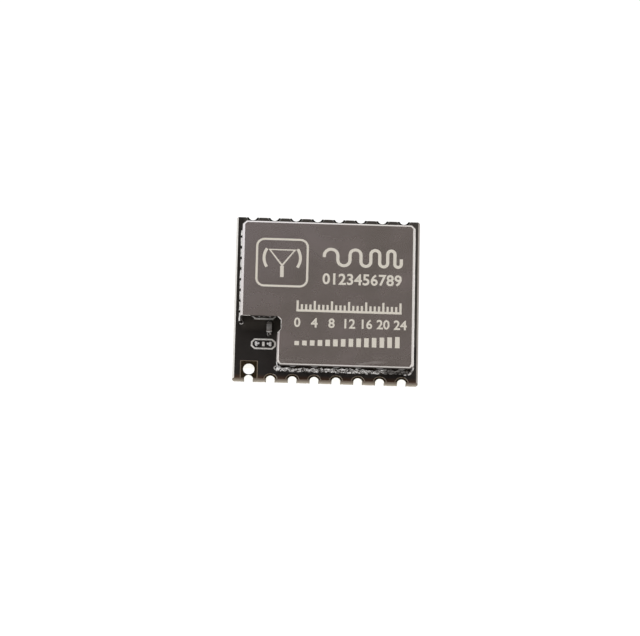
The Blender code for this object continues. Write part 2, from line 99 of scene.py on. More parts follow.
def on_board(across, back):
    """A place on the board, in millimetres from its front-left corner."""
    return board_low.x + across * MM, board_low.y + back * MM


class Seam(NamedTuple):
    """A solder seam along the foot of one wall, with its lengths in millimetres.

    It reaches out from the wall and up it. A hollow of 1 is a round fillet and 0 a flat one. It runs on
    before the start of its node and after the end. Past dulled, which is measured along X from the can's left
    wall, flux covers most of it.
    """
    node: str
    out: float
    up: float
    hollow: float
    ripple: float
    flux: float
    before: float
    after: float
    dulled: float = None


# In the order in which they run round the can, each a quarter turn from the one before
SEAMS = (
    Seam("solder_front", 0.04, 1.00, hollow=0.0, ripple=0.40, flux=0.43, before=0.34, after=0.26,
         dulled=13.025),
    Seam("solder_right", 0.07, 0.30, hollow=1.0, ripple=0.02, flux=0.24, before=0.20, after=0.20),
    Seam("solder_back", 0.07, 0.30, hollow=1.0, ripple=0.02, flux=0.24, before=0.20, after=0.20),
    Seam("solder_left", 0.12, 0.08, hollow=0.0, ripple=0.04, flux=0.02, before=0.32, after=0.04),
)


# Settings

def size(name, description, default):
    """A length that a user may change."""
    return FloatProperty(name=name, description=description, default=default, min=0.0, precision=6,
                         subtype="DISTANCE", unit="LENGTH")


def colour(name, description, default):
    """A colour in linear light."""
    return FloatVectorProperty(name=name, description=description, default=default, size=3,
                               min=0.0, max=1.0, subtype="COLOR")


def share(name, description, default):
    """A number from 0 to 1."""
    return FloatProperty(name=name, description=description, default=default, min=0.0, max=1.0)


def strength(name, description, default):
    """A strength of light, which may pass 1."""
    return FloatProperty(name=name, description=description, default=default, min=0.0)


class StageSettings(bpy.types.PropertyGroup):
    """The floor, the light tent and the backdrop"""

    floor_colour: colour("Floor", "Colour of the pale floor", (0.30, 0.30, 0.30))
    floor_glow: strength("Floor glow", "Light that the white table gives off from below", 0.90)
    floor_reach: size("Floor reach", "Half the width of the floor", 3.0)
    tent_skirt: strength("Tent skirt", "Light from the foot of the light tent's walls", 0.75)
    tent_mid: strength("Tent walls", "Light from the middle of the light tent's walls", 0.80)
    tent_high: strength("Tent roof", "Light from the roof of the light tent and the walls' top", 1.26)
    tent_back: strength("Far wall", "How much brighter the tent's far wall is", 0.22)
    tent_gap: colour("Tent opening", "Light from the dark warm opening over the part", (0.108, 0.087, 0.081))
    gap_width: share("Opening width", "Half the width of the opening, on a unit dome round the part", 0.50)
    gap_depth: share("Opening depth", "Half the depth of the opening, on a unit dome round the part", 0.77)
    sky: colour("Backdrop", "Colour behind the floor", (1.0, 1.0, 1.0))


class BoardSettings(bpy.types.PropertyGroup):
    """The circuit board and its print"""

    mask: colour("Solder mask", "Colour of the black solder mask", (0.0135, 0.0106, 0.0088))
    edge_mask: colour("Edge mask", "Colour of the thinner mask along the front edge", (0.056, 0.025, 0.011))
    # Painted fill light: a paler mask colour laid where the can's roof shades the board
    fluxed: colour("Fluxed mask", "Colour of the mask in the can, under its flux", (0.060, 0.052, 0.044))
    laminate: colour("Laminate", "Colour of the cut glass-epoxy edges", (0.42, 0.36, 0.27))
    fibre: colour("Fibre", "Colour of the cut glass fibres", (0.60, 0.55, 0.46))
    browned: colour("Browned edge", "Colour of the cut edge just under the mask", (0.085, 0.052, 0.028))
    # Painted light: the left-facing slope of the cut edge is coloured near white as if lit, the right-facing
    # one darker as if shaded
    pale: colour("Snapped edge", "Colour of the splintered fibres on the left edge", (1.0, 0.985, 0.95))
    tan: colour("Sawn edge", "Colour of the fibres on the right edge", (0.40, 0.365, 0.33))
    worn: colour("Worn fibres", "Tint of the darkest fibres on the left and right edges", (0.8, 0.78, 0.76))
    rim: colour("Mask rim", "Colour of the laminate in the gaps between mask and lands", (0.34, 0.28, 0.21))
    back_rim: colour("Back mask rim", "Colour of those gaps round the back lands", (0.25, 0.25, 0.24))
    ink: colour("Printed ink", "Colour of the printed outlines", (0.88, 0.86, 0.82))
    ink_line: size("Printed line", "Width of a printed line", 0.16 * MM)
    ink_height: size("Ink height", "Height of the printed ink", 0.02 * MM)
    outline_length: size("Outline length", "Length of a printed part outline", 2.30 * MM)
    outline_width: size("Outline width", "Width of a printed part outline", 1.06 * MM)


class ContactSettings(bpy.types.PropertyGroup):
    """The plated half-holes and their lands"""

    barrel: colour("Barrel plating", "Colour of the bright plating in the half-holes", (0.97, 0.95, 0.87))
    # Painted reflection: the lands' top faces are coloured dark, standing in for the dark surroundings that
    # gold would mirror there
    land: colour("Land plating", "Colour of the duller plating on the lands", (0.085, 0.062, 0.032))
    back_land: colour("Back land plating", "Colour of the greyer lands along the back", (0.040, 0.038, 0.034))
    underside: colour("Underside", "Colour of the clean gold on the underside's lands", (0.80, 0.62, 0.33))


class CanSettings(bpy.types.PropertyGroup):
    """The shield can and the marks etched into it"""

    metal: colour("Sheet metal", "Colour of the nickel silver sheet", (0.75, 0.695, 0.675))
    patina: colour("Patina", "Cooler colour of the sheet's dull patches", (0.715, 0.69, 0.645))
    # Painted sheen: the sheet's colour towards the back left, brighter as if more light fell there
    wiped: colour("Wiped metal", "Colour of the cleaner sheet at the back left", (0.86, 0.82, 0.83))
    roughness: share("Roughness", "Roughness of the rolled sheet", 0.27)
    # Flux staining and painted shade: the walls darken towards their foot, partly from flux and partly as
    # painted shade where they meet the board
    stain: colour("Stain", "Colour that the flux leaves on the walls", (0.30, 0.265, 0.245))
    thin_stain: colour("Thin stain", "Colour of the walls where the flux is thin", (0.50, 0.46, 0.435))
    # Painted shade: a dark colour under the front bend, so the wall there stays dark in place of the bright
    # holes and floor it would mirror
    burnt: colour("Burnt flux", "Colour of the flux line under the front bend", (0.052, 0.044, 0.040))
    sheared: colour("Sheared edge", "Colour of the bright metal round the cut corner", (0.84, 0.81, 0.78))
    burr: size("Burr", "Thickness of the bright rolled edge round the cut corner", 0.12 * MM)
    mark: colour("Marks", "Colour of the etched marks", (0.92, 0.85, 0.745))
    mark_line: size("Mark line", "Width of an etched line", 0.22 * MM)
    mark_height: size("Mark height", "Height of the etched marks", 0.006 * MM)


class SolderSettings(bpy.types.PropertyGroup):
    """The solder round the can, and the vias through its strip"""

    tin: colour("Tin", "Colour of the solder", (0.86, 0.84, 0.82))
    flux: colour("Flux", "Colour of the flux left on the solder", (0.055, 0.046, 0.040))
    # Pale grainy solder, coloured near white so that it shows as bright glints: its own matt colour made
    # lighter as a painted highlight
    frosted: colour("Frosted solder", "Colour of the pale grainy solder", (1.0, 0.99, 0.98))
    lump: size("Lump spacing", "Distance between lumps along a solder seam", 0.35 * MM)
    # Painted shade: the vias are dark discs that stand in for the shade in open holes
    via_dark: colour("Via", "Colour of the open vias at their darkest", (0.006, 0.005, 0.004))
    via_light: colour("Via dust", "Colour of the open vias at their lightest", (0.02, 0.017, 0.013))
    via_radius: size("Via radius", "Radius of the open vias along the left wall", 0.105 * MM)
    via_pitch: size("Via pitch", "Distance between the vias along the left wall", 1.069 * MM)
    via_count: IntProperty(name="Vias", description="Vias along the left wall", default=9, min=1)


class PartSettings(bpy.types.PropertyGroup):
    """The parts under the can and in its step"""

    ceramic: colour("Capacitor", "Colour of the ceramic capacitors", (0.23, 0.19, 0.15))
    feed: colour("Feed capacitor", "Colour of the grey capacitor in the step of the can", (0.30, 0.29, 0.28))
    ferrite: colour("Inductor", "Colour of the chip inductors", (0.08, 0.09, 0.10))
    glaze: colour("Resistor", "Colour of the resistors' overglaze", (0.02, 0.02, 0.022))
    moulding: colour("Moulding", "Colour of the moulded packages", (0.022, 0.022, 0.024))
    crystal: colour("Crystal base", "Colour of the crystal's ceramic base", (0.40, 0.34, 0.27))
    lid: colour("Crystal lid", "Colour of the crystal's plated lid", (0.70, 0.68, 0.63))
    dull_tin: colour("Dull ends", "Colour of the small parts' tinned ends at their dullest",
                     (0.62, 0.61, 0.59))
    bright_tin: colour("Bright ends", "Colour of those ends at their brightest", (0.84, 0.83, 0.80))
    end_share: share("End length", "Length of one tinned end, as a share of its part's", 0.21)


# Shader helpers

def put(tree, kind, inputs=None, **settings):
    """Adds a node, sets it up, and links or sets its inputs."""
    node = tree.nodes.new(kind)
    for key, value in settings.items():
        setattr(node, key, value)
    for key, value in (inputs or {}).items():
        socket = node.inputs[key]
        if isinstance(value, bpy.types.NodeSocket):
            tree.links.new(value, socket)
        else:
            socket.default_value = value
    return node


def feed(tree, inputs, **sockets):
    """Links each socket to the input of that name, with _ for a space."""
    for name, socket in sockets.items():
        tree.links.new(socket, inputs[name.replace("_", " ")])


def maths(tree, operation, *values):
    """The result of one step of arithmetic on numbers or sockets."""
    return put(tree, "ShaderNodeMath", dict(enumerate(values)), operation=operation).outputs[0]


def product(tree, first, *others):
    """Numbers or sockets, all multiplied together."""
    for other in others:
        first = maths(tree, "MULTIPLY", first, other)
    return first


def vector_maths(tree, operation, *values):
    """The result of one step of vector arithmetic: a number for a dot product or a length, else a vector."""
    node = put(tree, "ShaderNodeVectorMath", dict(enumerate(values)), operation=operation)
    return node.outputs["Value" if operation in ("DOT_PRODUCT", "LENGTH") else "Vector"]


def blend_range(tree, value, low, high, start=0.0, end=1.0):
    """Goes from start to end as the value goes from low to high."""
    return put(tree, "ShaderNodeMapRange", {0: value, 1: low, 2: high, 3: start, 4: end}).outputs[0]


def mix_number(tree, factor, first, second):
    """Goes from the first number to the second as the factor goes from 0 to 1."""
    return put(tree, "ShaderNodeMix", {0: factor, 2: first, 3: second}, data_type="FLOAT").outputs[0]


def mix_colour(tree, factor, first, second, blend="MIX"):
    """Mixes two colours, each of three numbers or a socket."""
    inputs = {0: factor}
    for key, side in ((6, first), (7, second)):
        inputs[key] = side if isinstance(side, bpy.types.NodeSocket) else rgba(side)
    return put(tree, "ShaderNodeMix", inputs, data_type="RGBA", blend_type=blend).outputs[2]


def shade(tree, factor, base, dark, light):
    """One colour, from its dark share to its light share as the factor goes from 0 to 1."""
    return mix_colour(tree, factor, scaled(base, dark), scaled(base, light))


def scaled(values, factor):
    """A colour made brighter or darker by a factor."""
    return tuple(min(1.0, value * factor) for value in values)


def rgba(values):
    """A colour of three numbers, with the fourth that a node's socket needs."""
    return (*values, 1.0)


def object_axes(tree):
    """The X, Y and Z of a point of the surface, in Object coordinates."""
    place = put(tree, "ShaderNodeTexCoord").outputs["Object"]
    return put(tree, "ShaderNodeSeparateXYZ", {0: place}).outputs


# Shader groups

SOCKET_KINDS = {int: "NodeSocketInt", float: "NodeSocketFloat", tuple: "NodeSocketVector"}


def tree_of(build):
    """The node tree that a function builds under its own name, made the first time it is asked for."""
    return bpy.data.node_groups.get(build.__name__) or build(build.__name__)


def add_inputs(tree, defaults):
    """Named inputs, each of the kind that its default has."""
    for label, default in defaults.items():
        kind = SOCKET_KINDS[type(default)]
        tree.interface.new_socket(label, in_out="INPUT", socket_type=kind).default_value = default


def shader_group(name, defaults, *labels):
    """An empty node group with these named inputs, and an output for each label."""
    group = bpy.data.node_groups.new(name, "ShaderNodeTree")
    add_inputs(group, defaults)
    for label in labels:
        group.interface.new_socket(label, in_out="OUTPUT", socket_type="NodeSocketFloat")
    return group, group.nodes.new("NodeGroupInput").outputs, group.nodes.new("NodeGroupOutput").inputs


def mottle(name):
    """Soft uneven patches, and finer ones, as on any handled or reflowed surface."""
    group, given, end = shader_group(
        name, {"Scale": 1000.0, "Detail": 3.0, "Stretch": (1.0, 1.0, 1.0)}, "Value", "Fine")
    place = put(group, "ShaderNodeTexCoord").outputs["Object"]
    stretched = vector_maths(group, "MULTIPLY", place, given["Stretch"])
    finer = product(group, given["Scale"], 9.0)
    for label, scale, detail in (("Value", given["Scale"], given["Detail"]), ("Fine", finer, 2.0)):
        noise = put(group, "ShaderNodeTexNoise", {"Vector": stretched, "Scale": scale, "Detail": detail})
        group.links.new(blend_range(group, noise.outputs[0], 0.3, 0.7), end[label])
    return group


def outer_faces(name):
    """1 on faces that look up or down at the outer levels, 0 on walls and on the floors of pockets. It also
    gives the point's height, and how far its face looks to the right, to the front or back, and up."""
    group, given, end = shader_group(
        name, {"Middle": 0.0, "Half": 1.0}, "Value", "Height", "Sideways", "Endways", "Upright")
    height = object_axes(group)[2]
    normal = put(group, "ShaderNodeNewGeometry").outputs["Normal"]
    turned = put(group, "ShaderNodeSeparateXYZ", {0: normal}).outputs
    flat = maths(group, "GREATER_THAN", maths(group, "ABSOLUTE", turned[2]), LEVEL)
    away = maths(group, "ABSOLUTE", maths(group, "SUBTRACT", height, given["Middle"]))
    outer = maths(group, "GREATER_THAN", away, given["Half"])
    feed(group, end, Value=product(group, flat, outer), Height=height, Sideways=turned[0],
         Endways=maths(group, "ABSOLUTE", turned[1]), Upright=turned[2])
    return group


def end_caps(name):
    """1 on the tinned ends of a two-terminal part, and 0 on the body between them."""
    group, given, end = shader_group(
        name, {"Centre": (0.0, 0.0, 0.0), "Along": (1.0, 0.0, 0.0), "Body Half": 0.3 * MM}, "Value")
    place = put(group, "ShaderNodeTexCoord").outputs["Object"]
    offset = vector_maths(group, "SUBTRACT", place, given["Centre"])
    along = vector_maths(group, "DOT_PRODUCT", offset, given["Along"])
    noise = put(group, "ShaderNodeTexNoise", {"Vector": place, "Scale": 9000.0, "Detail": 1.0}).outputs[0]
    uneven = product(group, maths(group, "SUBTRACT", noise, 0.5), 0.06 * MM)
    reach = maths(group, "ADD", maths(group, "ABSOLUTE", along), uneven)
    feed(group, end, Value=maths(group, "GREATER_THAN", reach, given["Body Half"]))
    return group


def grouped(tree, build, **values):
    """Places a shader group with these input values, and gives its outputs."""
    node = tree.nodes.new("ShaderNodeGroup")
    node.node_tree = tree_of(build)
    for key, value in values.items():
        node.inputs[key.replace("_", " ")].default_value = value
    return node.outputs


# Materials

def new_material(name, base, roughness, metallic=0.0, **constants):
    """A material with a Principled BSDF, whose constants are set on its own sockets."""
    made = bpy.data.materials.new(name)
    made.use_nodes = True
    made.diffuse_color = rgba(base)
    shader = made.node_tree.nodes["Principled BSDF"]
    constants |= {"Base_Color": rgba(base), "Roughness": roughness, "Metallic": metallic}
    for key, value in constants.items():
        shader.inputs[key.replace("_", " ")].default_value = value
    return made, made.node_tree, shader


def add_bump(tree, shader, height, distance, amount):
    """Fine relief, as deep as the distance where the height is 1."""
    bump = put(tree, "ShaderNodeBump", {"Strength": amount, "Distance": distance, "Height": height})
    tree.links.new(bump.outputs[0], shader.inputs["Normal"])


def mask_colour(tree, settings, cloud, height):
    """Black mask, browned where it thins along the front edge, and made paler under the can's roof as painted
    fill light in its shade.
    """
    across, back, _ = object_axes(tree)
    mask = shade(tree, cloud["Value"], settings.mask, 0.85, 1.25)
    browned = blend_range(tree, back, board_low.y + 0.42 * MM, board_low.y + 0.04 * MM)
    mask = mix_colour(tree, browned, mask, settings.edge_mask)
    # Painted fill light: the mask turns paler under the can's roof, where the board lies in its shade
    past_edge = blend_range(tree, back, STEP_EDGE - 0.9 * MM, STEP_EDGE - 0.1 * MM)
    past_relief = product(tree, blend_range(tree, across, STEP_WALL - 0.7 * MM, STEP_WALL + 0.1 * MM),
                          blend_range(tree, back, JOG_END - 0.5 * MM, JOG_END + 0.2 * MM))
    shade_fill = product(tree, maths(tree, "MAXIMUM", past_edge, past_relief),
                     blend_range(tree, across, can_low.x, can_low.x + 0.3 * MM),
                     maths(tree, "GREATER_THAN", height, BOARD_MIDDLE))
    return mix_colour(tree, shade_fill, mask, settings.fluxed)


def laminate_colour(tree, settings, weave, faces):
    """The cut edges: darker brown towards the top at the front and back, and painted light at the left and
    right: near white where the slope faces left, darker where it faces right.
    """
    fibres = mix_colour(tree, weave["Value"], settings.laminate, settings.fibre)
    # Darker brown towards the top of the cut edge, next to the mask
    depth = blend_range(tree, faces["Height"], board_low.z, board_high.z, 1.0, 0.0)
    ends = mix_colour(tree, maths(tree, "POWER", depth, 1.6), settings.browned, fibres)
    # Painted light: the slope that faces left gets the near-white colour, as if lit, and the one that faces
    # right the darker one, as if shaded
    painted_side_light = blend_range(tree, faces["Sideways"], -0.5, 0.5)
    sides = mix_colour(tree, painted_side_light, settings.pale, settings.tan)
    worn = mix_colour(tree, weave["Value"], settings.worn, (1.0, 1.0, 1.0))
    sides = mix_colour(tree, 1.0, sides, worn, "MULTIPLY")
    sideways = maths(tree, "GREATER_THAN", maths(tree, "ABSOLUTE", faces["Sideways"]), 0.3)
    return mix_colour(tree, sideways, ends, sides)


def board_material(settings):
    """Black solder mask on the outer faces, bare laminate with its glass fibres everywhere else."""
    made, tree, shader = new_material("board_mask_and_laminate", settings.mask, 0.42)
    half = (board_high.z - board_low.z) / 2 - 0.02 * MM
    faces = grouped(tree, outer_faces, Middle=BOARD_MIDDLE, Half=half)
    cloud = grouped(tree, mottle, Scale=900.0, Detail=4.0)
    weave = grouped(tree, mottle, Scale=2600.0, Detail=2.0, Stretch=(1.0, 1.0, 5.0))
    at_back = blend_range(tree, object_axes(tree)[1], 0.0, 1.0 * MM)
    rim = mix_colour(tree, at_back, settings.rim, settings.back_rim)
    level = maths(tree, "GREATER_THAN", maths(tree, "ABSOLUTE", faces["Upright"]), LEVEL)
    bare = mix_colour(tree, level, laminate_colour(tree, settings, weave, faces), rim)
    mask = mask_colour(tree, settings, cloud, faces["Height"])
    satin = mix_number(tree, cloud["Fine"], 0.36, 0.46)
    feed(tree, shader.inputs, Base_Color=mix_colour(tree, faces["Value"], bare, mask),
         Roughness=mix_number(tree, faces["Value"], 0.8, satin))
    add_bump(tree, shader, weave["Fine"], 0.004 * MM, 0.6)
    return made


def contact_material(settings):
    """Gold plating: bright in the barrels, painted dark on the lands above, standing in for the dark
    surroundings they mirror, clean on those below.
    """
    made, tree, shader = new_material("contact_gold", settings.barrel, 0.3, 1.0)
    faces = grouped(tree, outer_faces, Middle=BOARD_TOP / 2, Half=BOARD_TOP / 2 - 0.01 * MM)
    cloud = grouped(tree, mottle, Scale=3500.0)
    back = object_axes(tree)[1]
    below = maths(tree, "LESS_THAN", faces["Upright"], -0.5)
    gold = shade(tree, cloud["Value"], settings.barrel, 1.0, 1.12)
    gold = mix_colour(tree, below, gold, settings.underside)
    # Painted reflection: the top faces of the lands, and their cut ends, are coloured dark as if mirroring
    # dark surroundings
    land = shade(tree, cloud["Value"], settings.land, 0.7, 1.3)
    land = mix_colour(tree, blend_range(tree, back, 0.0, 1.0 * MM), land, settings.back_land)
    at_edge = maths(tree, "GREATER_THAN", maths(tree, "ABSOLUTE", back), board_high.y - 0.02 * MM)
    cut_end = product(tree, at_edge, maths(tree, "GREATER_THAN", faces["Endways"], LEVEL))
    above = maths(tree, "GREATER_THAN", faces["Upright"], -0.5)
    dull = product(tree, maths(tree, "MAXIMUM", faces["Value"], cut_end), above)
    feed(tree, shader.inputs, Base_Color=mix_colour(tree, dull, gold, land),
         Roughness=mix_number(tree, cloud["Fine"], 0.24, 0.42))
    add_bump(tree, shader, cloud["Fine"], 0.004 * MM, 0.5)
    return made


def can_sheet(tree, settings, cloud, axes):
    """The colour of the sheet: duller in patches, with a painted sheen that brightens it towards the back
    left.
    """
    sheet = mix_colour(tree, cloud["Value"], settings.patina, scaled(settings.metal, 1.04))
    # Painted sheen: the sheet grows brighter towards the back left
    towards_back_left = maths(tree, "SUBTRACT", axes[1], axes[0])
    wiped = blend_range(tree, towards_back_left, 2.0 * MM, 14.0 * MM)
    return mix_colour(tree, wiped, sheet, settings.wiped)


def can_stain(tree, settings, faces, axes):
    """How far flux staining and painted shade cover the sheet, their colour, and the painted dark band round
    the front bend.
    """
    patches = grouped(tree, mottle, Scale=1700.0, Detail=4.0, Stretch=(1.0, 1.0, 0.6))
    # Flux staining with painted shade: the walls darken near their foot, where they meet the board, and along
    # the step's cut edge
    wall = blend_range(tree, faces["Upright"], 0.05, 0.35, 1.0, 0.0)
    ragged = maths(tree, "MULTIPLY_ADD", patches["Value"], 0.7 * MM, faces["Height"])
    foot = blend_range(tree, ragged, BOARD_TOP + 0.45 * MM, BOARD_TOP + 0.95 * MM, 1.0, 0.0)
    near_step = maths(tree, "COMPARE", axes[1], STEP_EDGE, 0.06 * MM)
    step = product(tree, near_step, maths(tree, "LESS_THAN", axes[0], RELIEF_X))
    on_walls = product(tree, wall, maths(tree, "MAXIMUM", foot, step))

    # Painted shade round the front bend: its lower part and the wall under it are coloured dark, which
    # narrows the bend's highlight
    front = maths(tree, "LESS_THAN", axes[1], can_low.y + 0.4 * MM)
    painted_bend_band = blend_range(tree, faces["Upright"], 0.51, 0.59, 1.0, 0.0)
    bend = product(tree, painted_bend_band, front, maths(tree, "GREATER_THAN", faces["Endways"], 0.5))
    ragged = maths(tree, "MULTIPLY_ADD", patches["Value"], 0.35 * MM, faces["Height"])
    under_bend = product(tree, blend_range(tree, ragged, CAN_TOP - 0.92 * MM, CAN_TOP - 0.52 * MM), front)
    stain = mix_colour(tree, patches["Value"], settings.thin_stain, settings.stain)
    stain = mix_colour(tree, under_bend, stain, settings.burnt)
    return maths(tree, "MAXIMUM", on_walls, bend), stain, bend


def can_roughness(tree, settings, faces, cloud, axes, bend):
    """Nearly even on the sheet, scuffed behind the front bend, rougher on the tinned left wall."""
    scuffs = grouped(tree, mottle, Scale=2100.0, Detail=4.0, Stretch=(0.3, 1.0, 1.0))
    broad = grouped(tree, mottle, Scale=260.0, Detail=1.0)
    near_front = blend_range(tree, axes[1], can_low.y + 0.30 * MM, can_low.y + 1.1 * MM, 1.0, 0.0)
    scuffed = blend_range(tree, scuffs["Value"], 0.62, 0.90, 0.0, 0.16)
    scuffed = product(tree, scuffed, near_front, broad["Value"])
    even = mix_number(tree, cloud["Value"], settings.roughness - 0.012, settings.roughness + 0.012)
    tinned = blend_range(tree, faces["Sideways"], -0.75, -0.45, 0.3, 0.0)
    rough = maths(tree, "ADD", maths(tree, "ADD", even, tinned), scuffed)
    return maths(tree, "MULTIPLY_ADD", bend, -0.17, rough)


def can_material(settings):
    """Rolled nickel silver, with fine grain, flux staining and painted shade near its foot, and a painted
    dark band round its front bend.
    """
    made, tree, shader = new_material("can_nickel_silver", settings.metal, settings.roughness, 1.0)
    faces = grouped(tree, outer_faces)
    cloud = grouped(tree, mottle, Scale=330.0, Detail=5.0)
    grain = grouped(tree, mottle, Scale=2400.0, Stretch=(0.35, 1.0, 1.0))
    axes = object_axes(tree)
    stained_and_shaded, stain, bend = can_stain(tree, settings, faces, axes)
    sheet = can_sheet(tree, settings, cloud, axes)
    feed(tree, shader.inputs, Base_Color=mix_colour(tree, stained_and_shaded, sheet, stain),
         Roughness=can_roughness(tree, settings, faces, cloud, axes, bend))
    add_bump(tree, shader, grain["Fine"], 0.001 * MM, 0.4)
    return made


def plain_material(name, base, rough, scale, metallic=0.0, shades=(0.85, 1.2), spread=(-0.06, 0.08),
                   relief=0.004 * MM, colour_by="Value", rough_by="Fine"):
    """One finish with a fine even texture, as on what is moulded, fired, plated, printed or etched."""
    made, tree, shader = new_material(name, base, rough, metallic)
    cloud = grouped(tree, mottle, Scale=scale)
    feed(tree, shader.inputs, Base_Color=shade(tree, cloud[colour_by], base, *shades),
         Roughness=mix_number(tree, cloud[rough_by], rough + spread[0], rough + spread[1]))
    add_bump(tree, shader, cloud["Fine"], relief, 0.6)
    return made


def mark_material(settings):
    """Pale matt metal, where the top of the can is etched."""
    return plain_material("etched_mark", settings.mark, 0.7, 5000.0, shades=(0.86, 1.12),
                          spread=(-0.15, 0.10), relief=0.002 * MM, colour_by="Fine", rough_by="Value")


def ink_material(settings):
    """White ink, printed on the mask."""
    return plain_material("printed_ink", settings.ink, 0.6, 4200.0, shades=(0.78, 1.1), spread=(-0.10, 0.15))


def via_material(settings):
    """Painted shade of an open via: dark and speckled, as the shaded hole looks."""
    made, tree, shader = new_material("open_via", settings.via_dark, 0.6)
    cloud = grouped(tree, mottle, Scale=9000.0, Detail=2.0)
    painted_hole_shade = mix_colour(tree, cloud["Value"], settings.via_dark, settings.via_light)
    feed(tree, shader.inputs, Base_Color=painted_hole_shade, Roughness=mix_number(tree, cloud["Fine"], 0.5, 0.8))
    return made


def solder_material(settings, name, flux_share, rough, dull_from=None):
    """Tin with dark flux left in its hollows. Beyond dull_from along X the flux covers most of it."""
    made, tree, shader = new_material(name, settings.tin, rough, 1.0)
    cloud = grouped(tree, mottle, Scale=3000.0)
    patches = grouped(tree, mottle, Scale=3600.0, Detail=4.0, Stretch=(1.0, 1.0, 1.6))
    flux = blend_range(tree, patches["Value"], flux_share - 0.12, flux_share + 0.12, 1.0, 0.0)
    if dull_from is not None:
        dull = blend_range(tree, object_axes(tree)[0], dull_from, dull_from + 0.4 * MM, 0.0, 0.86)
        flux = maths(tree, "MAXIMUM", flux, dull)
    tin = shade(tree, cloud["Value"], settings.tin, 0.86, 1.06)
    feed(tree, shader.inputs, Base_Color=mix_colour(tree, flux, tin, settings.flux),
         Roughness=mix_number(tree, cloud["Fine"], rough - 0.11, rough + 0.11))
    add_bump(tree, shader, cloud["Fine"], 0.008 * MM, 0.5)
    return made


def chip_part_material(settings, node, body, rough):
    """Body colour between two tinned ends."""
    low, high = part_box(node)
    span = high - low
    length = max(span.x, span.y)
    along = (1.0, 0.0, 0.0) if span.x > span.y else (0.0, 1.0, 0.0)
    made, tree, shader = new_material(f"{node}_body_and_ends", body, rough)
    ends = grouped(tree, end_caps, Centre=(low + high) / 2, Along=along,
                   Body_Half=length * (0.5 - settings.end_share))
    cloud = grouped(tree, mottle, Scale=4000.0)
    core = shade(tree, cloud["Value"], body, 0.8, 1.3)
    tin = mix_colour(tree, cloud["Value"], settings.dull_tin, settings.bright_tin)
    feed(tree, shader.inputs, Base_Color=mix_colour(tree, ends["Value"], core, tin), Metallic=ends["Value"],
         Roughness=mix_number(tree, ends["Value"], rough, 0.3))
    add_bump(tree, shader, cloud["Fine"], 0.004 * MM, 0.6)
    return made


def wear(obj, made):
    """Gives a piece this one material."""
    obj.data.materials.clear()
    obj.data.materials.append(made)


# Geometry trees

def geometry_tree(name, defaults):
    """A modifier tree with a geometry input and output, these named inputs and one for its material."""
    tree = bpy.data.node_groups.new(name, "GeometryNodeTree")
    tree.is_modifier = True
    tree.interface.new_socket("Geometry", in_out="INPUT", socket_type="NodeSocketGeometry")
    add_inputs(tree, defaults)
    tree.interface.new_socket("Material", in_out="INPUT", socket_type="NodeSocketMaterial")
    tree.interface.new_socket("Geometry", in_out="OUTPUT", socket_type="NodeSocketGeometry")
    return tree, tree.nodes.new("NodeGroupInput").outputs


def close_tree(tree, given, geometry, smooth=None):
    """Ends a tree with its faces shaded, its instances made real and its material set."""
    if smooth is not None:
        geometry = put(tree, "GeometryNodeSetShadeSmooth", {0: geometry, "Shade Smooth": smooth}).outputs[0]
    real = put(tree, "GeometryNodeRealizeInstances", {0: geometry}).outputs[0]
    finish = put(tree, "GeometryNodeSetMaterial", {0: real, "Material": given["Material"]}).outputs[0]
    tree.links.new(finish, tree.nodes.new("NodeGroupOutput").inputs[0])
    return tree


def upright_path(tree, path):
    """The path with its normals turned so that a section along it stays upright."""
    return put(tree, "GeometryNodeSetCurveNormal", {0: path}, mode="Z_UP").outputs[0]


def sweep(tree, path, section, **more):
    """The section run along the path, with closed ends."""
    inputs = {"Curve": path, "Profile Curve": section, "Fill Caps": True, **more}
    return put(tree, "GeometryNodeCurveToMesh", inputs).outputs[0]


def seeded_noise(tree, given, place, scale, detail=2.0):
    """Smooth noise about 0, from the tree's own seed."""
    inputs = {"Vector": place, "W": given["Seed"], "Scale": scale, "Detail": detail}
    noise = put(tree, "ShaderNodeTexNoise", inputs, noise_dimensions="4D")
    return maths(tree, "SUBTRACT", noise.outputs[0], 0.5)


def raised_lines(name):
    """Flat raised lines of one width along the edges of the mesh."""
    tree, given = geometry_tree(name, {"Line Width": 0.2 * MM, "Line Height": 0.02 * MM})
    path = put(tree, "GeometryNodeMeshToCurve", {0: given["Geometry"]}).outputs[0]
    section = put(tree, "GeometryNodeCurvePrimitiveQuadrilateral",
                  {"Width": given["Line Width"], "Height": given["Line Height"]}, mode="RECTANGLE").outputs[0]
    return close_tree(tree, given, sweep(tree, upright_path(tree, path), section), smooth=False)


def uneven_bead(name):
    """A round bead of uneven thickness along the edges of the mesh."""
    tree, given = geometry_tree(name, {
        "Radius": 0.04 * MM, "Spacing": 0.05 * MM, "Change": 0.4, "Lump Scale": 4000.0, "Seed": 0.0})
    path = put(tree, "GeometryNodeMeshToCurve", {0: given["Geometry"]}).outputs[0]
    finer = put(tree, "GeometryNodeResampleCurve", {"Curve": path, "Length": given["Spacing"]}, mode="LENGTH")
    place = put(tree, "GeometryNodeInputPosition").outputs[0]
    lumps = product(tree, seeded_noise(tree, given, place, given["Lump Scale"]), 2.0)
    radius = product(tree, maths(tree, "MULTIPLY_ADD", lumps, given["Change"], 1.0), given["Radius"])
    sized = put(tree, "GeometryNodeSetCurveRadius", {0: finer.outputs[0], "Radius": radius}).outputs[0]
    section = put(tree, "GeometryNodeCurvePrimitiveCircle", {"Resolution": 8, "Radius": 1.0}).outputs[0]
    thickness = put(tree, "GeometryNodeInputRadius").outputs[0]
    return close_tree(tree, given, sweep(tree, sized, section, Scale=thickness), smooth=True)


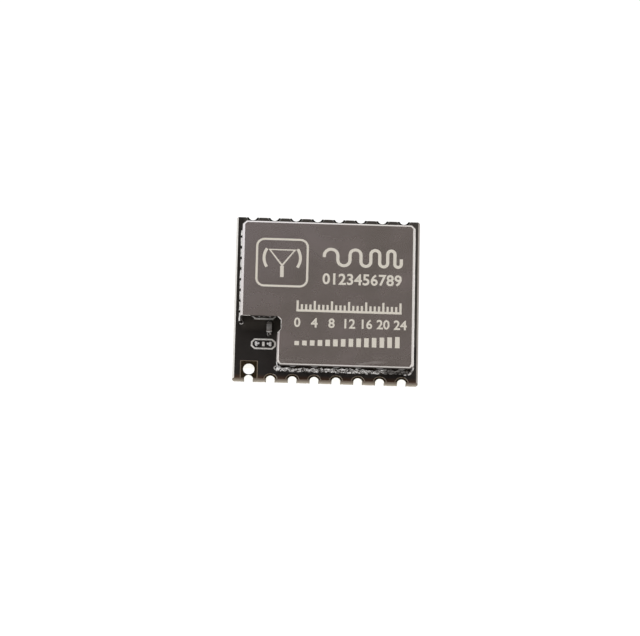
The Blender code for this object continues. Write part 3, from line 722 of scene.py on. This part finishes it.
def solder_seam(name):
    """A solder fillet along +X from the section given, uneven along its length. The wall and the board meet
    at the X axis, so a change of size keeps the fillet on both."""
    tree, given = geometry_tree(name, {
        "Length": 10.0 * MM, "Stations": 100, "Spacing": 0.3 * MM, "Width Change": 0.5, "Height Change": 0.5,
        "Ripple": 0.01 * MM, "Seed": 0.0})
    far = put(tree, "ShaderNodeCombineXYZ", {0: given["Length"]}).outputs[0]
    line = put(tree, "GeometryNodeCurvePrimitiveLine", {"End": far}).outputs[0]
    stations = {"Curve": line, "Count": given["Stations"]}
    path = put(tree, "GeometryNodeResampleCurve", stations, mode="COUNT").outputs[0]
    section = put(tree, "GeometryNodeMeshToCurve", {0: given["Geometry"]}).outputs[0]
    swept = sweep(tree, upright_path(tree, path), section)
    place = put(tree, "GeometryNodeInputPosition").outputs[0]
    axes = put(tree, "ShaderNodeSeparateXYZ", {0: place}).outputs
    per_metre = maths(tree, "DIVIDE", 1.0, given["Spacing"])

    def wave(offset, change):
        """A size that changes along the seam, about 1 and at least 0.3."""
        along = put(tree, "ShaderNodeCombineXYZ", {0: axes[0], 1: offset}).outputs[0]
        swing = product(tree, seeded_noise(tree, given, along, per_metre, 1.5), 3.0)
        return maths(tree, "MAXIMUM", maths(tree, "MULTIPLY_ADD", swing, change, 1.0), 0.3)

    across = product(tree, axes[1], wave(0.0, given["Width Change"]))
    up = product(tree, axes[2], wave(10.0 * MM, given["Height Change"]))
    off_wall, off_board = (maths(tree, "GREATER_THAN", axes[axis], 0.004 * MM) for axis in (1, 2))
    ripple = seeded_noise(tree, given, place, product(tree, per_metre, 1.7))
    rise = product(tree, ripple, given["Ripple"], off_wall, off_board)
    target = put(tree, "ShaderNodeCombineXYZ", {
        0: axes[0], 1: maths(tree, "ADD", across, rise), 2: maths(tree, "ADD", up, rise)}).outputs[0]
    moved = put(tree, "GeometryNodeSetPosition", {0: swept, "Position": target}).outputs[0]
    return close_tree(tree, given, moved, smooth=True)


def row_tree(name, more):
    """A tree with the inputs of a straight row, and the points of that row."""
    tree, given = geometry_tree(name, {"Count": 2, "Start": (0.0, 0.0, 0.0), "Step": (0.0, 0.0, 0.0), **more})
    inputs = {"Count": given["Count"], "Start Location": given["Start"], "Offset": given["Step"]}
    return tree, given, put(tree, "GeometryNodeMeshLine", inputs, mode="OFFSET").outputs[0]


def close_row(tree, given, points, **placing):
    """Ends a row with a copy of the mesh on each of its points."""
    inputs = {"Points": points, "Instance": given["Geometry"], **placing}
    return close_tree(tree, given, put(tree, "GeometryNodeInstanceOnPoints", inputs).outputs[0])


def row_of_copies(name):
    """Copies of the mesh in a straight row, each turned and sized a little differently."""
    tree, given, points = row_tree(name, {"Turn Change": 0.0, "Size Change": 0.0, "Seed": 0})

    def between(least, most):
        inputs = {2: least, 3: most, "Seed": given["Seed"]}
        return put(tree, "FunctionNodeRandomValue", inputs, data_type="FLOAT").outputs[1]

    least, most = (maths(tree, step, 1.0, given["Size Change"]) for step in ("SUBTRACT", "ADD"))
    turned = between(product(tree, given["Turn Change"], -1.0), given["Turn Change"])
    spin = put(tree, "ShaderNodeCombineXYZ", {2: turned}).outputs[0]
    return close_row(tree, given, points, Rotation=spin, Scale=between(least, most))


def scale_of_copies(name):
    """Copies of the mesh in a straight row, as ticks of a scale: each so many is longer along Y, and the
    length may change evenly from the first copy to the last."""
    tree, given, points = row_tree(name, {"Every": 1, "Long": 1.0, "First": 1.0, "Last": 1.0})
    index = put(tree, "GeometryNodeInputIndex").outputs[0]
    chosen = maths(tree, "LESS_THAN", maths(tree, "MODULO", index, given["Every"]), 0.5)
    longer = blend_range(tree, chosen, 0.0, 1.0, 1.0, given["Long"])
    last = maths(tree, "SUBTRACT", given["Count"], 1.0)
    slope = blend_range(tree, index, 0.0, last, given["First"], given["Last"])
    stretch = put(tree, "ShaderNodeCombineXYZ", {0: 1.0, 1: product(tree, longer, slope), 2: 1.0}).outputs[0]
    return close_row(tree, given, points, Scale=stretch)


def frozen_solder(name):
    """The mesh made finer and pushed in and out, as solder that froze."""
    tree, given = geometry_tree(name, {"Levels": 1, "Lump Scale": 5000.0, "Lump": 0.02 * MM, "Seed": 0.0})
    coarse = {0: given["Geometry"], "Level": given["Levels"]}
    finer = put(tree, "GeometryNodeSubdivisionSurface", coarse).outputs[0]
    place = put(tree, "GeometryNodeInputPosition").outputs[0]
    push = product(tree, seeded_noise(tree, given, place, given["Lump Scale"]), given["Lump"])
    normal = put(tree, "GeometryNodeInputNormal").outputs[0]
    offset = put(tree, "ShaderNodeVectorMath", {0: normal, "Scale": push}, operation="SCALE").outputs[0]
    moved = put(tree, "GeometryNodeSetPosition", {0: finer, "Offset": offset}).outputs[0]
    return close_tree(tree, given, moved, smooth=True)


def plain_mesh(obj):
    """The object's mesh as its modifiers leave it."""
    bpy.context.view_layer.update()
    return bpy.data.meshes.new_from_object(obj.evaluated_get(bpy.context.evaluated_depsgraph_get()))


def grow(obj, build, **values):
    """Runs a geometry tree on the object with these input values, and keeps the result as a plain mesh."""
    tree = tree_of(build)
    modifier = obj.modifiers.new(tree.name, "NODES")
    modifier.node_group = tree
    for item in tree.interface.items_tree:
        key = item.name.replace(" ", "_")
        if item.in_out == "INPUT" and key in values:
            modifier[item.identifier] = values.pop(key)
    if values:
        raise RuntimeError(f"{tree.name} has no input for {sorted(values)}")
    mesh = plain_mesh(obj)
    obj.modifiers.remove(modifier)
    obj.data = mesh
    if not mesh.polygons:
        raise RuntimeError(f"{obj.name} came out empty")


# Outlines

def arc(x, y, radius, start, end, steps):
    """Points along an arc, whose ends are given in degrees."""
    points = []
    for step in range(steps + 1):
        angle = math.radians(start + (end - start) * step / steps)
        points.append((x + radius * math.cos(angle), y + radius * math.sin(angle)))
    return points


def circle(x, y, radius, sides=16):
    """Points round a circle, back to the first."""
    points = arc(x, y, radius, 0, 360, sides)[:-1]
    return points + points[:1]


def antenna_sign(x, y, half):
    """A square frame with rounded corners, the open triangle of an antenna between two arcs, and its stem."""
    corner = 0.3 * half
    reach = half - corner
    outline = []
    for turn, (side_x, side_y) in enumerate(((1, 1), (-1, 1), (-1, -1), (1, -1))):
        outline += arc(x + side_x * reach, y + side_y * reach, corner, turn * 90, turn * 90 + 90, 5)
    top, fork, foot = y + 0.55 * half, y - 0.12 * half, y - 0.62 * half
    wing = 0.5 * half
    triangle = [(x - wing, top), (x + wing, top), (x, fork), (x - wing, top)]
    spread = 33
    waves = [arc(x, y + 0.2 * half, 0.72 * half, side - spread, side + spread, 8) for side in (0, 180)]
    return [outline + outline[:1]], [triangle] + waves, [[(x, fork - 0.02 * half), (x, foot)]]


def rising_meander(left, right, y, tall, legs, shrink):
    """A line that runs up and down in round turns, each turn narrower than the last by the same share."""
    widths = [shrink ** leg for leg in range(legs - 1)]
    unit = (right - left) / sum(widths)
    points = [(left, y)]
    x = left
    for leg, width in enumerate(widths):
        radius = unit * width / 2
        side = 1 if leg % 2 == 0 else -1
        points += arc(x + radius, y + side * (tall / 2 - radius), radius, 180, 180 - side * 180, 8)
        x += 2 * radius
    return points + [(x, y)]


def cut_corner_outline(x, y, length, width):
    """A long outline with its corners cut off."""
    cut = width * 0.3
    half, up = length / 2, width / 2
    points = [(half - cut, -up), (half, cut - up), (half, up - cut), (half - cut, up),
              (cut - half, up), (-half, up - cut), (-half, cut - up), (cut - half, -up)]
    points = [(x + px, y + py) for px, py in points]
    return points + points[:1]


def fillet_section(out, up, hollow, steps=20):
    """The section of a solder fillet, from the board's end of its face to the wall's. Both its axes point
    backwards, because sweeping it along X turns them round."""
    points = [(0.0, 0.0)]
    for step in range(steps + 1):
        along = step / steps
        angle = math.pi / 2 * along
        left = hollow * (1 - math.sin(angle)) + (1 - hollow) * (1 - along)
        risen = hollow * (1 - math.cos(angle)) + (1 - hollow) * along
        points.append((-out * left, -up * risen))
    return points + points[:1]


# Mesh helpers

def add_object(name, bm):
    """An object at the origin with this mesh, which is used up."""
    mesh = bpy.data.meshes.new(name)
    bm.to_mesh(mesh)
    bm.free()
    obj = bpy.data.objects.new(name, mesh)
    bpy.context.scene.collection.objects.link(obj)
    return obj


def add_paths(name, paths, level=None):
    """An object of edges only: each path is a list of points, and closes where its last point is its first.
    Points of two numbers all lie at the level given."""
    bm = bmesh.new()
    for path in paths:
        closed = path[0] == path[-1]
        points = path[:-1] if closed else path
        verts = [bm.verts.new(point if level is None else (*point, level)) for point in points]
        for first, second in zip(verts, verts[1:] + verts[:1] if closed else verts[1:]):
            bm.edges.new((first, second))
    return add_object(name, bm)


def add_bar(name, width, tall, thickness):
    """A flat bar that stands on the origin along +Y."""
    bm = bmesh.new()
    place = Matrix.Translation((0, tall / 2, 0)) @ Matrix.Diagonal((width, tall, thickness, 1.0))
    bmesh.ops.create_cube(bm, size=1.0, matrix=place)
    return add_object(name, bm)


def add_numbers(name, words, spots, centre, tall, level, thickness):
    """Plain numbers of one height, a little bold and narrow, each centred on its spot."""
    bold, narrow = 0.022, 0.95
    whole = bmesh.new()
    for word, spot in zip(words, spots):
        data = bpy.data.curves.new("number", "FONT")
        data.body = word
        data.align_x = "CENTER"
        data.resolution_u = 3
        data.offset = bold
        data.extrude = 0.5
        glyph = bpy.data.objects.new("number", data)
        bpy.context.scene.collection.objects.link(glyph)
        mesh = plain_mesh(glyph)
        bpy.data.objects.remove(glyph)
        heights = [vert.co.y for vert in mesh.vertices]
        by = tall / (max(heights) - min(heights))
        place = Matrix.Translation((spot, centre - tall / 2 - min(heights) * by, level))
        mesh.transform(place @ Matrix.Diagonal((by * narrow, by, thickness, 1.0)))
        whole.from_mesh(mesh)
        bpy.data.meshes.remove(mesh)
    bmesh.ops.remove_doubles(whole, verts=whole.verts, dist=0.0001 * MM)
    return add_object(name, whole)


def hand_over(obj, nodes):
    """Gives the finished piece to the frame, in place of these nodes where it replaces any."""
    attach(obj, ROOT)
    if nodes:
        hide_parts(*nodes)


def settle(obj, slot_name, *nodes):
    """Turns faces outwards, and hands the finished piece to the frame."""
    bm = bmesh.new()
    bm.from_mesh(obj.data)
    bmesh.ops.recalc_face_normals(bm, faces=bm.faces)
    bm.to_mesh(obj.data)
    bm.free()
    hand_over(obj, nodes)


def smooth_copy(name, nodes, made):
    """A piece with the shape of these nodes: faces merged, curves shaded smooth and flats kept flat."""
    bm = bmesh.new()
    for node in nodes:
        bm.from_mesh(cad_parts[node].data)
    bmesh.ops.remove_doubles(bm, verts=bm.verts, dist=0.0002 * MM)
    bmesh.ops.dissolve_limit(bm, angle_limit=math.radians(0.5), verts=bm.verts, edges=bm.edges)
    obj = add_object(name, bm)
    obj.data.shade_smooth()
    obj.data.set_sharp_from_angle(angle=math.radians(40.0))
    weighted = obj.modifiers.new("flats", "WEIGHTED_NORMAL")
    weighted.keep_sharp = True
    mesh = plain_mesh(obj)
    obj.modifiers.clear()
    obj.data = mesh
    wear(obj, made)
    hand_over(obj, nodes)


def lay_bead(name, paths, radius, seed, made, slot_name="solder", level=None, change=0.45, lump_scale=5000.0):
    """A finished piece: an uneven round bead along each path."""
    bead = add_paths(name, paths, level)
    grow(bead, uneven_bead, Radius=radius, Spacing=0.06 * MM, Change=change, Lump_Scale=lump_scale,
         Seed=seed, Material=made)
    settle(bead, slot_name)


def lay_mounds(name, mounds, lump, seed, made):
    """A finished piece: low mounds of solder on the board, each with its foot just under the surface. A mound
    has its middle in metres, and its reach along X, its reach along Y and its height in millimetres."""
    whole = bmesh.new()
    for (x, y), reach_x, reach_y, height in mounds:
        ball = bmesh.ops.create_uvsphere(whole, u_segments=14, v_segments=8, radius=1.0)
        for vert in ball["verts"]:
            rise = max(vert.co.z, -0.05) * height * MM
            vert.co = (x + vert.co.x * reach_x * MM, y + vert.co.y * reach_y * MM, BOARD_TOP + rise)
    obj = add_object(name, whole)
    grow(obj, frozen_solder, Levels=1, Lump_Scale=6500.0, Lump=lump * MM, Seed=seed, Material=made)
    settle(obj, "solder")


def points_from(origin, *offsets):
    """Points at these offsets from the origin, in millimetres."""
    return [tuple(start + step * MM for start, step in zip(origin, offset)) for offset in offsets]


# Operators

class MODULE_OT_board(bpy.types.Operator):
    """Gives the board its solder mask and its bare laminate edges"""
    bl_idname = "radio_module.board"
    bl_label = "Dress the Board"

    def execute(self, context):
        wear(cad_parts["board"], board_material(context.scene.module_board))
        return {"FINISHED"}


class MODULE_OT_contacts(bpy.types.Operator):
    """Gives the half-hole contacts their plating"""
    bl_idname = "radio_module.contacts"
    bl_label = "Dress the Contacts"

    def execute(self, context):
        made = contact_material(context.scene.module_contact)
        smooth_copy("half_hole_contacts", PADS, made)
        return {"FINISHED"}


class MODULE_OT_can(bpy.types.Operator):
    """Dresses the shield can, with the bright rolled edge round its cut corner"""
    bl_idname = "radio_module.can"
    bl_label = "Dress the Shield Can"

    def execute(self, context):
        settings = context.scene.module_can
        smooth_copy("can_shell", ["shield_can"], can_material(settings))
        bright = plain_material("sheared_edge", settings.sheared, 0.62, 5000.0, 1.0)
        radius = settings.burr / 2
        corner = 0.32 * MM
        edge = [
            (RELIEF_X - corner, STEP_EDGE), (RELIEF_X, STEP_EDGE - corner), (RELIEF_X, RELIEF_END),
            (STEP_WALL + 0.06 * MM, JOG_END + 0.06 * MM),
        ]
        lay_bead("can_rolled_edge", [edge], radius, 3.0, bright, "can_metal", level=CAN_TOP - radius,
                 change=0.6, lump_scale=3000.0)
        lip = [(can_low.x + 0.22 * MM, STEP_EDGE), (can_low.x + 0.90 * MM, STEP_EDGE)]
        lay_bead("can_sheared_lip", [lip], 0.026 * MM, 4.0, bright, "can_metal", level=CAN_TOP - 0.03 * MM,
                 change=0.8, lump_scale=3000.0)
        return {"FINISHED"}


class MODULE_OT_marks(bpy.types.Operator):
    """Etches an antenna sign, a meander, plain numbers, a scale and signal bars into the top of the can"""
    bl_idname = "radio_module.marks"
    bl_label = "Etch the Marks"

    def execute(self, context):
        settings = context.scene.module_can
        made = mark_material(settings)
        line = settings.mark_line
        height = settings.mark_height
        level = CAN_TOP + height * LIFT_SHARE

        def etch(name, paths, width, lift=0.0):
            obj = add_paths(name, paths, level + lift)
            grow(obj, raised_lines, Line_Width=width, Line_Height=height, Material=made)
            settle(obj, "can_metal")

        def etch_numbers(name, words, spots, centre, tall):
            numbers = add_numbers(name, words, spots, centre, tall, level, height)
            wear(numbers, made)
            settle(numbers, "can_metal")

        def etch_row(name, width, tall, start, end, foot, count, **lengths):
            bars = add_bar(name, width, tall, height)
            step = ((end - start) / (count - 1), 0.0, 0.0)
            grow(bars, scale_of_copies, Count=count, Start=(start, foot, level), Step=step, Material=made,
                 **lengths)
            settle(bars, "can_metal")

        sign_frame, sign, stem = antenna_sign(*on_can(3.705, 10.075), 2.33 * MM)
        etch("etched_frame", sign_frame, line * 0.9)
        etch("etched_antenna_sign", sign, line * 1.2)
        etch("etched_antenna_stem", stem, line * 1.5, OVERLAP_LIFT)

        left, middle = on_can(7.575, 10.755)
        meander = rising_meander(left, left + 7.10 * MM, middle, tall=1.62 * MM, legs=9, shrink=0.90)
        etch("etched_meander", [meander], line * 1.35)

        first, middle = on_can(7.795, 8.595)
        pitch = 0.735 * MM
        digits = "0123456789"
        spots = [first + pitch * place for place in range(len(digits))]
        etch_numbers("etched_numbers", digits, spots, middle, 1.12 * MM)

        left, foot = on_can(5.225, 5.375)
        right, middle = on_can(14.665, 4.195)
        count, every = 25, 4
        etch("etched_scale_line", [[(left - line / 2, foot), (right + line / 2, foot)]], line)
        etch_row("etched_ticks", line * 0.9, 0.5 * MM, left, right, foot + line / 2, count,
                 Every=every, Long=1.75)
        numbered = range(0, count, every)
        spots = [left + (right - left) / (count - 1) * place for place in numbered]
        etch_numbers("etched_scale_numbers", [str(place) for place in numbered], spots, middle, 0.95 * MM)

        right, foot = on_can(14.425, 1.925)
        etch_row("etched_signal_bars", 0.42 * MM, 1.0 * MM, left, right, foot, 14, First=0.42, Last=1.10)
        return {"FINISHED"}


class MODULE_OT_print(bpy.types.Operator):
    """Prints the part outlines on the board in the step of the can"""
    bl_idname = "radio_module.print"
    bl_label = "Print the Outlines"

    def execute(self, context):
        settings = context.scene.module_board
        made = ink_material(settings)
        line = settings.ink_line
        length, width = settings.outline_length - line, settings.outline_width - line
        half_bar = 0.22 * MM
        spots = [on_board(2.77, back) for back in (3.38, 6.32)]
        outlines = [cut_corner_outline(x, y, length, width) for x, y in spots]
        bars = [[(x, y - half_bar), (x, y + half_bar)] for x, y in spots]
        prints = (("printed_outlines", outlines, line), ("printed_bars", bars, line * 1.4))
        for name, paths, thickness in prints:
            ink = add_paths(name, paths, BOARD_TOP + settings.ink_height * LIFT_SHARE)
            grow(ink, raised_lines, Line_Width=thickness, Line_Height=settings.ink_height, Material=made)
            settle(ink, "board_laminate")
        return {"FINISHED"}


class MODULE_OT_seams(bpy.types.Operator):
    """Runs uneven solder along the foot of the can"""
    bl_idname = "radio_module.seams"
    bl_label = "Solder the Can"

    def execute(self, context):
        settings = context.scene.module_solder
        station = 0.05 * MM
        for turn, seam in enumerate(SEAMS):
            low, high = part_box(seam.node)
            corner = ((low.x, high.y), (low.x, low.y), (high.x, low.y), (high.x, high.y))[turn]
            run = max(high.x - low.x, high.y - low.y) + (seam.before + seam.after) * MM
            dull_from = None if seam.dulled is None else can_low.x + seam.dulled * MM
            made = solder_material(settings, f"{seam.node}_tin", seam.flux, 0.26, dull_from)
            section = fillet_section(seam.out * MM, seam.up * MM, seam.hollow)
            fillet = add_paths(f"{seam.node}_seam", [section], 0.0)
            grow(fillet, solder_seam, Length=run, Stations=int(run / station), Spacing=settings.lump,
                 Width_Change=0.35, Height_Change=0.45, Ripple=seam.ripple * MM, Seed=turn + 1.0,
                 Material=made)
            place = Matrix.Translation((*corner, low.z)) @ Matrix.Rotation(turn * math.pi / 2, 4, "Z")
            flip = Matrix.Translation((-seam.before * MM, 0.0, 0.0)) @ Matrix.Diagonal((1.0, -1.0, 1.0, 1.0))
            fillet.data.transform(place @ flip)
            settle(fillet, "solder", seam.node)
        return {"FINISHED"}


class MODULE_OT_vias(bpy.types.Operator):
    """Puts a row of dark discs through the tinned strip along the left wall, painted shade standing in for
    the open vias
    """
    bl_idname = "radio_module.vias"
    bl_label = "Drill the Vias"

    def execute(self, context):
        settings = context.scene.module_solder
        foot, top = -0.05 * MM, 0.21 * MM
        dark = bmesh.new()
        bmesh.ops.create_cone(dark, cap_ends=True, segments=12, radius1=settings.via_radius,
                              radius2=settings.via_radius, depth=top - foot,
                              matrix=Matrix.Translation((0.0, 0.0, (top + foot) / 2)))
        holes = add_object("via_holes", dark)
        start = (can_low.x - 0.03 * MM, can_high.y - 1.039 * MM, BOARD_TOP)
        step = (0.0, -settings.via_pitch, 0.0)
        grow(holes, row_of_copies, Count=settings.via_count, Start=start, Step=step, Size_Change=0.12,
             Turn_Change=0.5, Seed=5, Material=via_material(settings))
        settle(holes, "board_laminate")
        return {"FINISHED"}


class MODULE_OT_joints(bpy.types.Operator):
    """Adds the solder on the open lands, at the feed capacitor and at the ends of the can's walls"""
    bl_idname = "radio_module.joints"
    bl_label = "Solder the Lands"

    def execute(self, context):
        settings = context.scene.module_solder
        tinned = solder_material(settings, "land_solder", 0.10, 0.36)
        fluxed = solder_material(settings, "fluxed_solder", 0.40, 0.30)
        # The pale grainy solder is near white as a painted highlight, so its specks and blobs show as glints
        frosted = plain_material("frosted_solder", settings.frosted, 0.5, 9000.0, 0.1)

        cluster = ((0.12, 0.10, 0.13, 0.12), (0.10, -0.11, 0.14, 0.13), (-0.09, 0.02, 0.11, 0.09))
        lands = []
        for across, side in ((2.22, -1), (3.28, 1)):
            for out, back, reach, height in cluster:
                lands.append((on_board(across + side * out, 3.40 + back), reach, reach, height))
        lands += [(on_board(across, 6.16), 0.09, 0.13, 0.14) for across in (2.33, 3.30)]
        low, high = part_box("antenna_series_cap")
        middle = (low.x + high.x) / 2
        feed_ends = [((middle, low.y - 0.04 * MM), 0.26, 0.28, 0.26),
                     ((middle, high.y + 0.03 * MM), 0.20, 0.14, 0.12)]
        wall_end = [((STEP_WALL + 0.105 * MM, can_low.y + 0.085 * MM), 0.19, 0.17, 0.35)]
        lay_mounds("open_land_solder", lands, 0.16, 0.0, frosted)
        lay_mounds("feed_part_solder", feed_ends, 0.30, 1.0, fluxed)
        lay_mounds("wall_end_solder", wall_end, 0.26, 2.0, fluxed)

        rings = [circle(can_low.x + 0.125 * MM, STEP_EDGE - 0.045 * MM, 0.165 * MM),
                 circle(STEP_WALL - 0.025 * MM, can_low.y + 0.295 * MM, 0.15 * MM)]
        lay_bead("wall_end_rings", rings, 0.065 * MM, 7.0, tinned, level=BOARD_TOP + 0.04 * MM)
        right_corner = points_from(
            (can_high.x, can_low.y, BOARD_TOP), (-0.065, 0.225, 1.40), (-0.075, 0.225, 0.80),
            (-0.155, 0.175, 0.25), (-0.325, 0.005, 0.12), (-0.825, -0.035, 0.10))
        lay_bead("corner_edge_solder", [right_corner], 0.095 * MM, 8.0, tinned)
        step_corner = (STEP_WALL, can_low.y, BOARD_TOP)
        drop = points_from(step_corner, (0.175, -0.045, 0.80), (0.205, -0.045, 0.98), (0.225, -0.025, 1.12))
        lay_bead("corner_bead", [drop], 0.16 * MM, 9.0, frosted)
        slit = points_from(step_corner, (0.035, 0.275, 1.52), (0.045, 0.235, 1.25), (0.105, 0.075, 0.98))
        lay_bead("corner_slit_solder", [slit], 0.05 * MM, 10.0, frosted)
        return {"FINISHED"}


class MODULE_OT_parts(bpy.types.Operator):
    """Gives the chip, crystal, switch and small parts their materials"""
    bl_idname = "radio_module.parts"
    bl_label = "Dress the Parts"

    def execute(self, context):
        settings = context.scene.module_part
        moulding = plain_material("moulded_epoxy", settings.moulding, 0.55, 4000.0)
        finishes = {
            "transceiver_chip": moulding,
            "rf_switch": moulding,
            "crystal_base": plain_material("crystal_base_ceramic", settings.crystal, 0.6, 3000.0),
            "crystal_lid": plain_material("crystal_lid_plating", settings.lid, 0.28, 1500.0, 1.0),
        }
        kinds = (
            ("antenna_series_cap", settings.feed, 0.55), ("cap", settings.ceramic, 0.55),
            ("inductor", settings.ferrite, 0.5), ("choke", settings.ferrite, 0.5),
            ("resistor", settings.glaze, 0.25), ("pull_up", settings.glaze, 0.25),
        )
        dressed = {"board", "shield_can", *PADS, *(seam.node for seam in SEAMS)}
        for name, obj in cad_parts.items():
            if name in finishes:
                wear(obj, finishes[name])
            elif name not in dressed:
                found = [kind for kind in kinds if kind[0] in name]
                if not found:
                    raise RuntimeError(f"no finish is known for {name}")
                _, body, rough = found[0]
                wear(obj, chip_part_material(settings, name, body, rough))
        return {"FINISHED"}


class MODULE_OT_stage(bpy.types.Operator):
    """Sets out the floor, the light tent and the camera"""
    bl_idname = "radio_module.stage"
    bl_label = "Set the Stage"

    def execute(self, context):
        settings = context.scene.module_stage
        self.lay_floor(settings)
        self.pitch_tent(context.scene, settings)
        self.place_camera(context.scene)
        context.scene.view_settings.view_transform = "Standard"
        return {"FINISHED"}

    def lay_floor(self, settings):
        """A white table lit from below. From underneath it is clear, so that the board can be seen."""
        bm = bmesh.new()
        bmesh.ops.create_grid(bm, x_segments=8, y_segments=8, size=settings.floor_reach,
                              matrix=Matrix.Translation((0.0, 0.0, -FLOOR_DROP)))
        floor = add_object("floor", bm)
        made, tree, shader = new_material(
            "pale_floor", settings.floor_colour, 0.9, Specular_IOR_Level=0.0,
            Emission_Color=(1.0, 1.0, 1.0, 1.0), Emission_Strength=settings.floor_glow)
        below = put(tree, "ShaderNodeNewGeometry").outputs["Backfacing"]
        clear = put(tree, "ShaderNodeBsdfTransparent").outputs[0]
        one_sided = put(tree, "ShaderNodeMixShader", {0: below, 1: shader.outputs[0], 2: clear})
        feed(tree, tree.nodes["Material Output"].inputs, Surface=one_sided.outputs[0])
        wear(floor, made)

    def pitch_tent(self, scene, settings):
        """Light walls and roof with a dark opening overhead, which the part mirrors. The camera sees a plain
        backdrop in their place."""
        world = bpy.data.worlds.new("light_tent")
        scene.world = world
        world.use_nodes = True
        sky = world.node_tree
        place = put(sky, "ShaderNodeTexCoord").outputs["Generated"]
        axes = put(sky, "ShaderNodeSeparateXYZ", {0: place}).outputs
        low_walls = blend_range(sky, axes[2], 0.16, 0.34, settings.tent_skirt, settings.tent_mid)
        walls = blend_range(sky, axes[2], 0.56, 0.72, low_walls, settings.tent_high)
        walls.node.interpolation_type = "SMOOTHSTEP"
        walls = product(sky, walls, blend_range(sky, axes[1], 0.55, 0.85, 1.0, 1.0 + settings.tent_back))
        white = put(sky, "ShaderNodeCombineXYZ", {0: walls, 1: walls, 2: walls}).outputs[0]
        reach = (1.0 / settings.gap_width, 1.0 / settings.gap_depth, 0.0)
        away = vector_maths(sky, "LENGTH", vector_maths(sky, "MULTIPLY", place, reach))
        gap = blend_range(sky, away, 0.80, 1.08, 1.0, 0.0)
        gap.node.interpolation_type = "SMOOTHSTEP"
        seen = put(sky, "ShaderNodeLightPath").outputs["Is Camera Ray"]
        tent = mix_colour(sky, gap, white, settings.tent_gap)
        feed(sky, sky.nodes["Background"].inputs, Color=mix_colour(sky, seen, tent, settings.sky))

    def place_camera(self, scene):
        """A long lens well above the part."""
        data = bpy.data.cameras.new("camera")
        data.lens = CAMERA_LENS
        data.sensor_width = 36.0
        data.clip_start = 0.01
        data.clip_end = 20.0
        camera = bpy.data.objects.new("camera", data)
        camera.location = CAMERA_PLACE
        camera.rotation_euler = [math.radians(angle) for angle in CAMERA_DEGREES]
        scene.collection.objects.link(camera)
        scene.camera = camera


class MODULE_PT_looks(bpy.types.Panel):
    """Sizes and colours of the module, and the steps that make it"""
    bl_idname = "MODULE_PT_looks"
    bl_label = "Radio Module"
    bl_space_type = "VIEW_3D"
    bl_region_type = "UI"
    bl_category = "Radio Module"

    def draw(self, context):
        for name, settings in SETTINGS.items():
            box = self.layout.box()
            for key in settings.__annotations__:
                box.prop(getattr(context.scene, name), key)
        for operator in OPERATORS:
            self.layout.operator(operator.bl_idname)


SETTINGS = {
    "module_stage": StageSettings,
    "module_board": BoardSettings,
    "module_contact": ContactSettings,
    "module_can": CanSettings,
    "module_solder": SolderSettings,
    "module_part": PartSettings,
}
OPERATORS = (
    MODULE_OT_stage, MODULE_OT_board, MODULE_OT_contacts, MODULE_OT_can, MODULE_OT_marks, MODULE_OT_print,
    MODULE_OT_seams, MODULE_OT_vias, MODULE_OT_joints, MODULE_OT_parts,
)
CLASSES = (*SETTINGS.values(), *OPERATORS, MODULE_PT_looks)


def register():
    for kind in CLASSES:
        bpy.utils.register_class(kind)
    for name, settings in SETTINGS.items():
        setattr(bpy.types.Scene, name, PointerProperty(type=settings))


def unregister():
    for name in SETTINGS:
        delattr(bpy.types.Scene, name)
    for kind in reversed(CLASSES):
        bpy.utils.unregister_class(kind)


def main():
    register()
    for operator in OPERATORS:
        area, name = operator.bl_idname.split(".")
        getattr(getattr(bpy.ops, area), name)()


if __name__ == "__main__":
    main()
